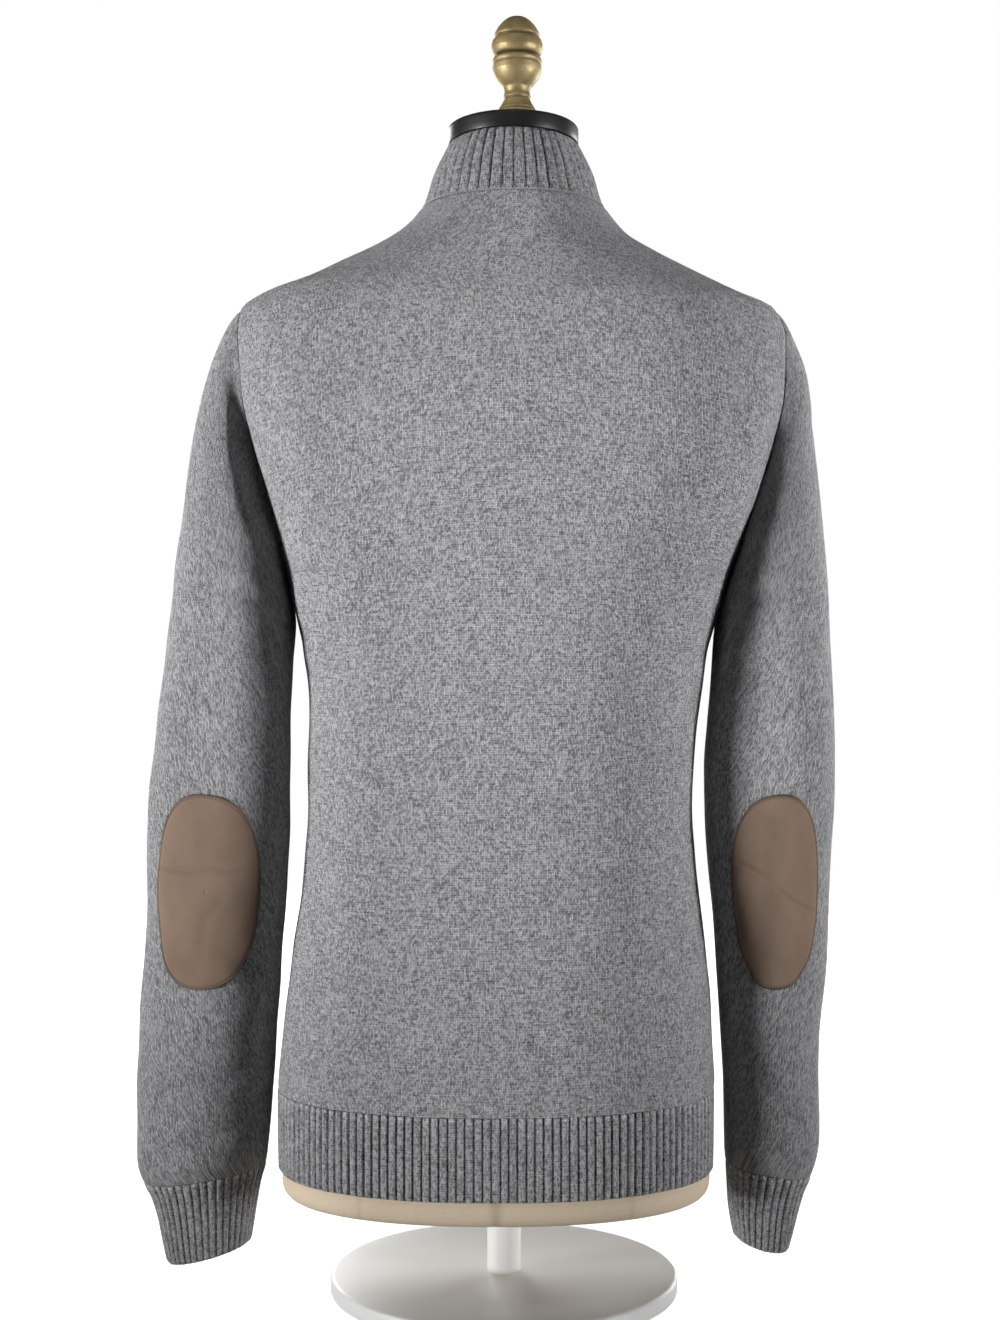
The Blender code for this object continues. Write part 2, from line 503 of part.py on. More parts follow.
# Slider: a plate over the chain with an arch for the pull. Its own directions are across, up the zip and out.
SLIDER_ALONG = 1.74
p0, p1 = front_point(0.01, SLIDER_ALONG - 0.1, 0.0), front_point(0.01, SLIDER_ALONG + 0.1, 0.0)
SLIDER_AT = (p0 + p1) / 2
UP = (p1 - p0) * np.array([0.0, 1.0, 1.0])
UP = UP / np.linalg.norm(UP)
ACROSS = np.array([1.0, 0.0, 0.0])
OUT = np.cross(ACROSS, UP)
PLATE_LOW, PLATE_HIGH = -0.4, 1.0          # heights above the garment's face
ARCH_HALF, ARCH_OPEN_LOW, ARCH_OPEN_HIGH, ARCH_TOP = 1.2, 1.0, 3.4, 4.3
BAR_RADIUS, BAR_HEIGHT = 0.65, 2.2


def placed(local):
    """Points given as (across, up, out) from the slider's middle, in mm."""
    local = np.asarray(local, float)
    return SLIDER_AT + local[:, :1] * ACROSS + local[:, 1:2] * UP + local[:, 2:3] * OUT


def prism(outline, low, high):
    """Faces and points of an outline pulled between two values of the third number."""
    n = len(outline)
    pts = [(*p, low) for p in outline] + [(*p, high) for p in outline]
    faces = [tuple(range(n)), tuple(range(2 * n - 1, n - 1, -1))]
    faces += [(i, n + i, n + (i + 1) % n, (i + 1) % n) for i in range(n)]
    return pts, faces


# plate and arch are one casting: an extruded side outline (up, out) for the arch, joined to the plate
plate_outline = [(-3.0, -5.4), (3.0, -5.4), (4.3, -2.4), (4.3, 3.2), (2.6, 5.4), (-2.6, 5.4), (-4.3, 3.2), (-4.3, -2.4)]
pts, faces = prism(plate_outline, PLATE_LOW, PLATE_HIGH)
slider = add("zip_slider", placed([(x, y, z) for x, y, z in pts]), faces, "zip_metal", False)
arch_outline = [(-3.4, 0.7), (-1.9, 0.7), (-1.5, ARCH_OPEN_HIGH - 0.6), (-0.9, ARCH_OPEN_HIGH), (0.9, ARCH_OPEN_HIGH),
                (1.5, ARCH_OPEN_HIGH - 0.6), (1.9, 0.7), (3.4, 0.7), (2.9, ARCH_TOP - 0.9), (1.9, ARCH_TOP),
                (-1.9, ARCH_TOP), (-2.9, ARCH_TOP - 0.9)]
pts, faces = prism(arch_outline, -ARCH_HALF, ARCH_HALF)
arch = add("slider_arch", placed([(x, y, z) for y, z, x in pts]), faces, "zip_metal", False)
arch.hide_render = True
arch.display_type = "WIRE"
join = slider.modifiers.new("arch", "BOOLEAN")
join.operation = "UNION"
join.solver = "EXACT"
join.object = arch

# Pull tab: a frame whose top bar passes under the arch, on the hinge axis. It hangs down over the chain.
tab_outer = [(-2.6, 0.7), (2.6, 0.7), (2.9, 0.2), (2.9, -20.0), (2.2, -23.5), (-2.2, -23.5), (-2.9, -20.0), (-2.9, 0.2)]
tab_hole = [(-1.6, -0.65), (1.6, -0.65), (1.6, -6.4), (-1.6, -6.4)]
pts, faces = prism(tab_outer, -BAR_RADIUS, BAR_RADIUS)
hinge = placed([(0.0, 0.0, BAR_HEIGHT)])[0]
ROTATION = np.stack([ACROSS, UP, OUT], 1)


def tab_piece(name, outline, low, high):
    pts, faces = prism(outline, low, high)
    obj = add(name, (ROTATION @ np.array([(x, y, z) for x, y, z in pts]).T).T, faces, "zip_metal", False)
    obj.location = tuple(hinge * MM)
    return obj


pull = tab_piece("zip_pull", tab_outer, -BAR_RADIUS, BAR_RADIUS)
hole = tab_piece("pull_hole", tab_hole, -2.0, 2.0)
hole.hide_render = True
hole.display_type = "WIRE"
cut = pull.modifiers.new("hole", "BOOLEAN")
cut.operation = "DIFFERENCE"
cut.solver = "EXACT"
cut.object = hole


# ---- dress form and its stand ----
def rings_solid(name, rings, material):
    """A solid through stacked closed rings, with flat fans at both ends."""
    count = len(rings[0])
    points = np.concatenate([np.concatenate(rings), [np.mean(rings[0], 0)], [np.mean(rings[-1], 0)]])
    faces = []
    for i in range(len(rings) - 1):
        for j in range(count):
            k = (j + 1) % count
            faces += triangles(i * count + j, i * count + k, (i + 1) * count + k, (i + 1) * count + j)
    low, high, t = len(points) - 2, len(points) - 1, (len(rings) - 1) * count
    for j in range(count):
        k = (j + 1) % count
        faces += [(low, k, j), (high, t + j, t + k)]
    return add(name, points, faces, material)


turn = np.linspace(0, 2 * math.pi, 28, endpoint=False)
inwards = FORM_CLEAR + (FORM_CLEAR_FRONT - FORM_CLEAR) * ease((-np.cos(turn) - 0.6) / 0.4)
form = []
for level, extra in ((FORM_FOOT, 7.0), (74.6, 1.6), (78.0, -1.4), (83.0, -2.5), (88.5, -2.2), (91.5, -0.4), (95.0, 0.0), (120.0, 0.0), (151.5, 0.2), (200, 0.6), (260, 0.8), (320, 0.8),
                     (380, 0.8), (440, 0.8), (500, 0.8), (545, 0.8), (590, 1.5), (635, 3.5), (675, 5.0), (705, 5.5),
                     (726, 6.5), (740, 5.5), (755, 3.0), (771, 1.5), (787, 1.0), (799, 0.8), (808, 0.6)):
    p = body_at(turn, np.full_like(turn, level), inwards + extra, plain_body)
    if level < 100:
        p[:, 2] = level
    # its armholes are cut flat, as a form without arms has them
    flat = 163.0 + 60.0 * float(1 - ease((level - 520.0) / 40.0) * ease((745.0 - level) / 15.0))
    p[:, 0] = np.clip(p[:, 0], -5.0 - flat, -5.0 + flat)
    form.append(p)
for share, extra in ((0.3, 0.8), (0.6, 1.2), (0.8, 2.2)):
    form.append(collar_at(turn, np.full_like(turn, share), inwards + extra))
form.append(ring(turn, 856.6, 856.6, NECK_X, 41.6, 41.6, 54.8, 53.6, 2.0))
form.append(ring(turn, NECK_TOP, NECK_TOP, NECK_X, 41.0, 41.0, 54.2, 53.0, 2.0))
rings_solid("form_torso", form, "form_linen")

cap = [ring(turn, z, z, NECK_X, CAP_HALF_WIDTH - d, CAP_HALF_WIDTH - d, CAP_HALF_DEPTH - d, CAP_HALF_DEPTH - d - 1.0, 2.0)
       for z, d in ((CAP_BOTTOM, 0.5), (CAP_BOTTOM + 0.6, 0.0), (CAP_TOP - 2.2, 0.0), (CAP_TOP - 0.7, 0.8), (CAP_TOP, 2.6))]
rings_solid("neck_cap", cap, "cap_black")


def turned(name, heights, radii, x, sides, material):
    around = np.linspace(0, 2 * math.pi, sides, endpoint=False)
    rings = [np.stack([x + r * np.cos(around), r * np.sin(around), np.full(sides, z)], 1)
             for z, r in zip(heights, radii) if r > 0]
    return rings_solid(name, rings, material)


turned("finial", FINIAL["height"][::-1], FINIAL["radius"][::-1], FINIAL_X, 18, "finial_brass")
turned("stand_pole", (BASE_HEIGHT + 0.3, FORM_FOOT - 0.3), (POLE_RADIUS, POLE_RADIUS), 0.0, 24, "stand_white")
turned("stand_base", (0.0, BASE_HEIGHT - 2.5, BASE_HEIGHT - 0.7, BASE_HEIGHT),
       (BASE_RADIUS, BASE_RADIUS, BASE_RADIUS - 0.8, BASE_RADIUS - 3.0), 0.0, 48, "stand_white")
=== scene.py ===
"""Looks of the full-zip sweater on its dress form: fine knit shells, rib, seams, suede patches, zip and form."""
import math

import bmesh
import bpy
import numpy as np
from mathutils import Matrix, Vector

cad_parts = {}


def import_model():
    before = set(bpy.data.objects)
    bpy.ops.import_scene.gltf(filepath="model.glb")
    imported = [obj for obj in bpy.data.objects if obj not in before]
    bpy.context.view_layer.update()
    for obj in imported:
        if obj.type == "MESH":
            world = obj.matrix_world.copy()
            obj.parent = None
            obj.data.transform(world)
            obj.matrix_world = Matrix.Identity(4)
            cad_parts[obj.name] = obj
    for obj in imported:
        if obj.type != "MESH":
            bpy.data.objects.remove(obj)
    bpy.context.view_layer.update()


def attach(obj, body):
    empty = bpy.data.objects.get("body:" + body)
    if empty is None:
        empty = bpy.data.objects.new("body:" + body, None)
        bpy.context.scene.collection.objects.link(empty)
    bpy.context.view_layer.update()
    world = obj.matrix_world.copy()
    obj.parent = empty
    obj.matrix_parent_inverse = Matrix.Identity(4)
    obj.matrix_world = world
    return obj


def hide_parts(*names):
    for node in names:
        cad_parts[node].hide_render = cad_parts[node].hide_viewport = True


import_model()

MM = 0.001

# ---- sizes of the solids, mm ----
KNIT_WALL = 2.2          # plain knit panels
RIB_WALL = 2.6           # ribbed collar, hem and cuffs
PATCH_WALL = 1.2         # suede
SEAM_GAP = 0.3
FORM_CLEAR = 4.6         # form's skin below the garment's outer face, back and sides
FORM_CLEAR_FRONT = 9.0   # the same at centre front, where the zip tape lies between them
HEM_BOTTOM, HEM_TOP = 92.5, 151.5
ARMPIT, SHOULDER_TIP = 535.0, 733.0
ARMHOLE_BACK, ARMHOLE_FRONT = 47.0, 45.0   # half-depths of the armhole
COLLAR_HEIGHT = 48.0
ZIP_HALF = 6.0           # half the gap between the two fronts
TAPE_OUTER, TAPE_INNER, TAPE_REACH = 3.3, 4.1, 14.0
CHAIN_HALF, CHAIN_FACE, CHAIN_BACK = 2.3, 1.0, 3.0
PATCH_HALF_LENGTH, PATCH_HEIGHT = 71.5, 301.0      # half length and middle height of the elbow patches
PATCH_TURN = {1: math.radians(87.0), -1: math.radians(90.7)}          # their middles round the sleeve
PATCH_HALF_TURN = {1: math.radians(45.0), -1: math.radians(43.0)}     # and half widths
SLEEVE_CLEAR = 0.45      # least space between the hanging sleeve and the body
PATCH_LIFT = 1.0         # above the smooth sleeve, so that its facets clear the sleeve's by about 0.3
BASE_RADIUS, BASE_HEIGHT, POLE_RADIUS = 130.0, 12.0, 12.5
FORM_FOOT, NECK_TOP = 73.0, 857.4
CAP_BOTTOM, CAP_TOP, CAP_HALF_WIDTH, CAP_HALF_DEPTH = 857.8, 870.8, 49.3, 57.0
NECK_X, FINIAL_X = -6.7, -9.8


def columns(names, rows):
    """A table as one array for each named column."""
    return dict(zip(names, np.array(rows, float).T))


# Body surface, a row for each ring. z_back and z_front are the ring's heights at centre back and centre
# front, centre is its middle across the body, and the rest are its half sizes and its roundness.
BODY = columns(("z_back", "z_front", "centre", "left", "right", "back", "front", "power"), (
    (74.0, 74.0, 6.0, 161.5, 161.5, 113.0, 112.0, 2.25),
    (92.5, 92.5, 6.0, 162.5, 162.5, 113.5, 113.0, 2.25),
    (151.5, 151.5, 6.0, 163.0, 163.0, 112.5, 113.5, 2.25),
    (200.0, 200.0, 4.5, 160.0, 160.0, 109.0, 112.5, 2.25),
    (260.0, 260.0, 3.0, 154.0, 154.0, 104.0, 111.0, 2.2),
    (320.0, 320.0, 2.5, 146.5, 146.5, 99.5, 110.0, 2.2),
    (366.0, 366.0, 3.0, 144.0, 144.0, 97.5, 110.0, 2.2),
    (411.0, 411.0, 1.5, 145.0, 145.0, 98.5, 111.0, 2.2),
    (456.0, 456.0, -1.0, 148.0, 147.5, 102.5, 114.0, 2.2),
    (505.0, 505.0, -2.5, 159.0, 157.0, 108.5, 119.0, 2.25),
    (535.0, 535.0, -3.0, 165.0, 166.0, 112.0, 122.0, 2.3),
    (565.0, 565.0, -4.0, 175.5, 178.5, 115.0, 124.5, 2.35),
    (600.0, 600.0, -5.0, 189.0, 193.0, 117.5, 127.0, 2.4),
    (635.0, 635.0, -5.0, 201.0, 204.0, 118.5, 127.5, 2.4),
    (670.0, 670.0, -5.0, 207.0, 210.0, 117.5, 124.0, 2.35),
    (705.0, 705.0, -5.0, 207.5, 209.0, 112.0, 117.0, 2.25),
    (733.0, 729.0, -5.0, 202.0, 197.0, 104.5, 108.0, 2.12),
    (742.5, 736.0, -5.0, 190.0, 176.5, 100.0, 104.0, 2.06),
    (757.0, 744.0, -5.0, 152.5, 144.0, 93.0, 99.5, 2.0),
    (772.0, 752.0, -5.5, 119.0, 114.5, 85.5, 95.0, 2.0),
    (787.5, 759.0, -6.0, 89.5, 88.5, 78.5, 91.0, 2.0),
    (799.0, 763.5, -6.5, 77.0, 77.5, 74.0, 88.5, 2.0),
    (809.0, 767.0, -7.0, 68.5, 68.5, 70.5, 86.5, 2.0),
))

# Collar surface, rows by the share of its height. Its top edge rolls inwards.
COLLAR = columns(("share", "half_width", "back", "front"), (
    (0.00, 67.8, 70.2, 86.2),
    (0.20, 64.4, 68.8, 82.0),
    (0.45, 61.0, 67.2, 77.0),
    (0.70, 55.8, 65.2, 72.2),
    (0.85, 52.0, 63.6, 69.8),
    (0.95, 49.6, 62.2, 68.2),
    (1.00, 48.4, 61.2, 67.4),
))

# Sleeve tubes, a row for each ring from the armhole down. outer and inner are the ring's points farthest
# from and nearest to the body, as distance from the middle plane and height; back and front are half depths.
SLEEVE_COLUMNS = ("outer_x", "outer_z", "inner_x", "inner_z", "middle_y", "back", "front", "power")
SLEEVE_LEFT = columns(SLEEVE_COLUMNS, (
    (203.0, 730.0, 163.0, 533.0, 0.0, 47.0, 45.0, 2.0),
    (213.5, 716.0, 160.0, 523.0, 0.5, 48.0, 47.0, 2.0),
    (225.0, 676.0, 157.5, 512.0, 1.0, 50.0, 49.0, 2.0),
    (233.0, 637.0, 155.8, 500.0, 1.5, 51.0, 50.0, 2.0),
    (240.5, 585.0, 157.0, 486.0, 2.0, 51.0, 50.0, 2.05),
    (246.5, 540.0, 158.8, 468.0, 2.5, 49.5, 49.0, 2.05),
    (251.5, 488.0, 159.6, 444.0, 3.0, 47.5, 47.0, 2.1),
    (257.0, 450.0, 160.2, 420.0, 3.5, 45.5, 45.0, 2.1),
    (262.5, 402.0, 160.4, 384.0, 4.0, 43.5, 43.0, 2.1),
    (266.5, 360.0, 160.8, 350.0, 4.5, 42.0, 41.0, 2.1),
    (267.3, 320.0, 162.0, 316.0, 4.5, 40.5, 40.0, 2.1),
    (267.8, 280.0, 164.4, 278.0, 4.0, 39.0, 38.5, 2.1),
    (271.5, 230.0, 167.6, 230.0, 3.0, 37.5, 37.0, 2.1),
    (274.3, 180.0, 171.4, 182.0, 1.5, 36.5, 36.0, 2.1),
    (276.4, 130.0, 175.0, 134.0, -1.0, 36.5, 36.0, 2.1),
    (275.8, 98.0, 177.6, 104.0, -2.0, 36.5, 36.0, 2.1),
    (271.0, 78.0, 179.4, 92.5, -3.0, 34.0, 33.5, 2.1),
    (265.6, 67.0, 183.4, 78.5, -3.5, 31.5, 31.0, 2.1),
    (261.0, 52.5, 186.6, 61.0, -4.0, 30.0, 29.5, 2.1),
    (257.6, 35.0, 189.0, 46.0, -4.5, 29.0, 28.5, 2.1),
    (254.0, 17.5, 191.2, 33.0, -5.0, 28.5, 28.0, 2.1),
))
LEFT_CUFF_ROW = 16       # the ring that ends the sleeve and starts the cuff
SLEEVE_RIGHT = columns(SLEEVE_COLUMNS, (
    (203.0, 730.0, 168.0, 533.0, 0.0, 47.0, 45.0, 2.0),
    (212.5, 722.0, 163.0, 523.0, 0.5, 48.0, 47.0, 2.0),
    (226.0, 688.0, 160.0, 512.0, 1.0, 50.0, 49.0, 2.0),
    (231.5, 645.0, 158.6, 500.0, 1.5, 51.0, 50.0, 2.0),
    (236.5, 600.0, 157.4, 488.0, 2.0, 51.0, 50.0, 2.05),
    (240.5, 550.0, 156.6, 472.0, 2.5, 49.5, 49.0, 2.05),
    (244.0, 500.0, 155.2, 450.0, 3.0, 48.0, 47.0, 2.1),
    (246.3, 455.0, 152.6, 424.0, 3.5, 46.5, 45.5, 2.1),
    (247.6, 405.0, 149.9, 390.0, 4.0, 45.0, 44.5, 2.1),
    (247.2, 366.0, 150.6, 356.0, 4.5, 43.5, 43.0, 2.1),
    (245.2, 325.0, 153.0, 320.0, 4.5, 42.0, 41.5, 2.1),
    (243.2, 285.0, 156.4, 282.0, 4.0, 40.0, 39.5, 2.1),
    (241.2, 240.0, 159.4, 238.0, 3.0, 38.0, 37.5, 2.1),
    (237.2, 190.0, 162.9, 190.0, 1.5, 37.0, 36.5, 2.1),
    (236.4, 150.0, 165.2, 152.0, -1.0, 36.5, 36.0, 2.1),
    (236.8, 112.0, 165.6, 116.0, -2.0, 36.5, 36.0, 2.1),
    (231.0, 84.0, 167.0, 94.0, -3.0, 34.0, 33.5, 2.1),
    (225.6, 70.5, 168.2, 78.0, -3.5, 31.0, 30.5, 2.1),
    (221.6, 56.0, 169.2, 64.0, -4.0, 29.5, 29.0, 2.1),
    (218.2, 42.0, 171.4, 48.0, -4.5, 28.5, 28.0, 2.1),
    (214.2, 27.5, 174.0, 36.0, -5.0, 28.0, 27.5, 2.1),
))
RIGHT_CUFF_ROW = 16

# Deep crease where the hanging sleeve meets the body, behind (1) and in front (-1) of each arm: its depth
# by height, and the seam's distance from the middle plane by height.
CREASE_HEIGHTS = (548.0, 575.0, 602.0, 632.0, 660.0, 692.0)
CREASE_DEPTHS = (0.0, 7.0, 12.5, 13.0, 7.5, 0.0)
CREASE_SEAM = (162.0, 173.0, 180.0, 187.0, 192.0, 197.5)
CREASE_SHARE = {(1, 1): 1.0, (-1, 1): 0.8, (1, -1): 0.6, (-1, -1): 0.6}
CREASE_BODY, CREASE_SLEEVE = 8.5, 11.0      # its half widths on each side of the seam

# Turned profile of the finial, top down.
FINIAL = columns(("height", "radius"), (
    (955.2, 0.0), (954.7, 4.4), (952.6, 8.8), (949.2, 12.4), (945.0, 15.4), (941.6, 16.9), (940.2, 17.0), (939.4, 16.5),
    (938.4, 17.2), (936.8, 18.4), (934.0, 19.2), (931.2, 19.4), (928.4, 18.8), (926.2, 17.8), (925.0, 17.2), (923.6, 17.9),
    (922.0, 18.7), (920.4, 18.6), (919.2, 18.2), (917.6, 18.5), (914.6, 18.5), (911.4, 17.6), (907.6, 15.6), (904.2, 12.9),
    (902.6, 11.2), (901.4, 10.4), (897.0, 9.9), (894.4, 10.3), (893.2, 9.9), (891.6, 10.3), (888.6, 11.8), (885.6, 13.8),
    (883.4, 15.0), (880.0, 15.6), (874.0, 16.2), (871.1, 16.2), (871.1, 0.0),
))


def smooth(xs, ys, x):
    """A curve through the table's points that keeps their order (monotone cubic), straight past its ends."""
    xs, ys, x = np.asarray(xs, float), np.asarray(ys, float), np.asarray(x, float)
    h = np.diff(xs)
    slope = np.diff(ys) / h
    m = np.zeros(len(xs))
    same = slope[:-1] * slope[1:] > 0
    w1, w2 = 2 * h[1:] + h[:-1], h[1:] + 2 * h[:-1]
    safe = np.where(same, slope[:-1] * slope[1:], 1.0)
    m[1:-1] = np.where(same, (w1 + w2) * safe / (w1 * slope[1:] + w2 * slope[:-1] + 1e-12), 0.0)
    m[0], m[-1] = slope[0], slope[-1]
    i = np.clip(np.searchsorted(xs, x) - 1, 0, len(h) - 1)
    t = (x - xs[i]) / h[i]
    tc = np.clip(t, 0, 1)
    y = (ys[i] * (1 + 2 * tc) * (1 - tc) ** 2 + m[i] * h[i] * tc * (1 - tc) ** 2
         + ys[i + 1] * tc ** 2 * (3 - 2 * tc) + m[i + 1] * h[i] * tc ** 2 * (tc - 1))
    return y + np.where(t < 0, t * h[i] * m[0], 0) + np.where(t > 1, (t - 1) * h[i] * m[-1], 0)


def ease(t):
    t = np.clip(t, 0, 1)
    return t * t * (3 - 2 * t)


def ring(turn, z_back, z_front, centre, left, right, back, front, power):
    """A point of a body ring. turn is 0 at centre back, 90 degrees at the left side, 180 at centre front."""
    c, s = np.cos(turn), np.sin(turn)
    x = centre + np.where(s > 0, left, right) * np.sign(s) * np.abs(s) ** (2 / power)
    y = np.where(c > 0, back, front) * np.sign(c) * np.abs(c) ** (2 / power)
    return np.stack([x, y, z_back + (z_front - z_back) * ease(-c)], -1)


def plain_body(turn, level):
    cols = [smooth(BODY["z_back"], BODY[k], level)
            for k in ("z_front", "centre", "left", "right", "back", "front", "power")]
    return ring(turn, level, *cols)


def creased(p):
    """Points moved into the crease between body and sleeve."""
    x, y, z = p[..., 0], p[..., 1], p[..., 2]
    arm = np.where(x > 0, 1, -1)
    seam = smooth(CREASE_HEIGHTS, CREASE_SEAM, z) + np.where(x > 0, 0.0, 11.0)
    depth = np.where((z > CREASE_HEIGHTS[0]) & (z < CREASE_HEIGHTS[-1]), smooth(CREASE_HEIGHTS, CREASE_DEPTHS, z), 0.0)
    share = np.where(y > 0, np.where(arm > 0, CREASE_SHARE[1, 1], CREASE_SHARE[-1, 1]), CREASE_SHARE[1, -1])
    past = np.abs(x) - seam
    width = np.where(past < 0, CREASE_BODY, CREASE_SLEEVE)
    move = depth * share * np.exp(-(past / width) ** 2) * ease((np.abs(y) - 8.0) / 22.0)
    return np.stack([x, y - np.sign(y) * move, z], -1)


def body(turn, level):
    return creased(plain_body(turn, level))


def collar(turn, share):
    half, back, front = (smooth(COLLAR["share"], COLLAR[k], share) for k in ("half_width", "back", "front"))
    z = 809.0 + SEAM_GAP + COLLAR_HEIGHT * share
    drop = 42.0 - 2.0 * share
    return ring(turn, z, z - drop, -7.0, half, half, back, front, 2.0 + 0 * half)


def turn_at_y(level, y, side):
    """Where the body ring at this level has this y, on the left (side 1) or the right (side -1)."""
    back, front, power = (smooth(BODY["z_back"], BODY[k], level) for k in ("back", "front", "power"))
    c = np.where(y > 0, 1, -1) * np.abs(y / np.where(y > 0, back, front)) ** (power / 2)
    return side * np.arccos(np.clip(c, -1, 1))


def beside_body(y, z, side):
    """How far the body surface reaches sideways at this y and height."""
    f = {k: smooth(BODY["z_back"], BODY[k], np.minimum(z, 733.0)) for k in ("centre", "left", "right", "back", "front", "power")}
    share = np.clip(np.abs(y) / np.where(y > 0, f["back"], f["front"]), 0, 0.98)
    half = f["left"] if side > 0 else f["right"]
    return side * f["centre"] + half * (1 - share ** f["power"]) ** (1 / f["power"])


def turn_at_zip(surface, v, offset):
    """Where the surface's front is this far to the left of its centre line."""
    if surface is body:
        half, power = smooth(BODY["z_back"], BODY["left"], v), smooth(BODY["z_back"], BODY["power"], v)
    else:
        half, power = smooth(COLLAR["share"], COLLAR["half_width"], v), 2.0
    return math.pi - np.sign(offset) * np.arcsin(np.abs(offset / half) ** (power / 2))


def normal(surface, a, b, da=0.03, db=1.0, low=-1e9, high=1e9):
    """Outward unit normal of a surface of two numbers."""
    u = surface(a + da, b) - surface(a - da, b)
    v = surface(a, np.minimum(b + db, high)) - surface(a, np.maximum(b - db, low))
    n = np.cross(u, v)
    return n / np.linalg.norm(n, axis=-1, keepdims=True)


def body_at(turn, level, inwards=0.0, surface=body):
    n = -normal(surface, turn, level, low=70.0, high=809.0)
    return surface(turn, level) - n * np.asarray(inwards)[..., None]


def collar_at(turn, share, inwards=0.0):
    n = -normal(collar, turn, share, db=0.03, low=0.0, high=1.0)
    return collar(turn, share) - n * np.asarray(inwards)[..., None]


def armhole(turn, side):
    """The armhole seam on the body surface: 0 at the shoulder, 90 degrees at its back, 180 at the armpit."""
    level = ARMPIT + (SHOULDER_TIP - ARMPIT) * (1 + np.cos(turn)) / 2
    s = np.sin(turn)
    y = np.where(s >= 0, ARMHOLE_BACK, ARMHOLE_FRONT) * np.sign(s) * np.abs(s) ** 0.85
    y = np.where(np.abs(y) < 1e-6, 1e-6, y)
    return plain_body(turn_at_y(level, y, side), level)


def sleeve_tube(table, side):
    """The outer surface of one sleeve: turn is 0 at its outer edge, 90 degrees at its back; row counts rings."""
    rows = np.arange(len(table["power"]))

    def surface(turn, row):
        f = {k: smooth(rows, table[k], row) for k in SLEEVE_COLUMNS}
        c, s = np.cos(turn), np.sin(turn)
        c = np.sign(c) * np.abs(c) ** (2 / f["power"])
        s = np.sign(s) * np.abs(s) ** (2 / f["power"])
        x = (f["outer_x"] + f["inner_x"]) / 2 + (f["outer_x"] - f["inner_x"]) / 2 * c
        z = (f["outer_z"] + f["inner_z"]) / 2 + (f["outer_z"] - f["inner_z"]) / 2 * c
        y = f["middle_y"] + np.where(s > 0, f["back"], f["front"]) * s
        tube = np.stack([side * x, y, z], -1)
        seam = armhole(turn, side) + np.array([side * 0.45, 0.0, 0.0])
        mix = ease(row / 2.2)[..., None]
        p = seam * (1 - mix) + tube * mix
        # where the sleeve hangs beside the body it stays clear of it
        clear = 0.45 + SLEEVE_CLEAR * ease(row / 1.0)
        least = beside_body(p[..., 1], p[..., 2], side) + clear
        soft = 2.0 * ease(row / 1.2) + 1e-3
        d = side * p[..., 0] - least
        x = least + (d + np.sqrt(d * d + soft * soft)) / 2
        p[..., 0] = side * np.where(row > 0, np.maximum(x, side * p[..., 0]), side * p[..., 0])
        return creased(p)

    return surface


def row_at(table, height):
    """The sleeve row whose middle is at this height."""
    middle = (table["outer_z"] + table["inner_z"]) / 2
    return np.interp(-np.asarray(height, float), -middle, np.arange(len(middle)))


def tube_at(surface, turn, row, side, inwards=0.0):
    last = 20.0
    n = -side * normal(surface, turn, row, da=0.05, db=0.2, low=0.0, high=last)
    return surface(turn, row) - n * np.asarray(inwards)[..., None]



# ------------------------------------------------------------------------------------------------
# meshes
# ------------------------------------------------------------------------------------------------
def mesh_from(name, points, quads, uv=None, material=None, attrs=None, smooth=True, tris=None, border=0):
    """A mesh object from arrays: points in mm, quads as vertex numbers, uv for each quad corner."""
    points = np.asarray(points, np.float64) * MM
    mesh = bpy.data.meshes.new(name)
    quads = np.asarray(quads, np.int32).reshape(-1, 4)
    tris = np.zeros((0, 3), np.int32) if tris is None else np.asarray(tris, np.int32).reshape(-1, 3)
    mesh.vertices.add(len(points))
    mesh.vertices.foreach_set("co", points.astype(np.float32).ravel())
    nl = quads.size + tris.size
    mesh.loops.add(nl)
    mesh.loops.foreach_set("vertex_index", np.concatenate([quads.ravel(), tris.ravel()]))
    mesh.polygons.add(len(quads) + len(tris))
    starts = np.concatenate([np.arange(len(quads)) * 4, quads.size + np.arange(len(tris)) * 3])
    mesh.polygons.foreach_set("loop_start", starts.astype(np.int32))
    if uv is not None:
        layer = mesh.uv_layers.new(name="knit")
        flat = np.zeros((nl, 2), np.float32)
        flat[:quads.size] = np.asarray(uv, np.float32).reshape(-1, 2)
        layer.data.foreach_set("uv", flat.ravel())
    mesh.update(calc_edges=True)
    mesh.validate(clean_customdata=False)
    if smooth:
        soft = np.ones(len(mesh.polygons), bool)
        if border and len(mesh.polygons) == len(quads):
            soft[len(soft) - border:] = False       # a shell's edge is flat, so that it doesn't shade the cloth beside it
        mesh.polygons.foreach_set("use_smooth", soft)
    for key, values in (attrs or {}).items():
        a = mesh.attributes.new(key, "FLOAT", "POINT")
        a.data.foreach_set("value", np.asarray(values, np.float32).ravel())
    if material is not None:
        mesh.materials.append(material)
    mesh.update()
    obj = bpy.data.objects.new(name, mesh)
    bpy.context.scene.collection.objects.link(obj)
    return obj


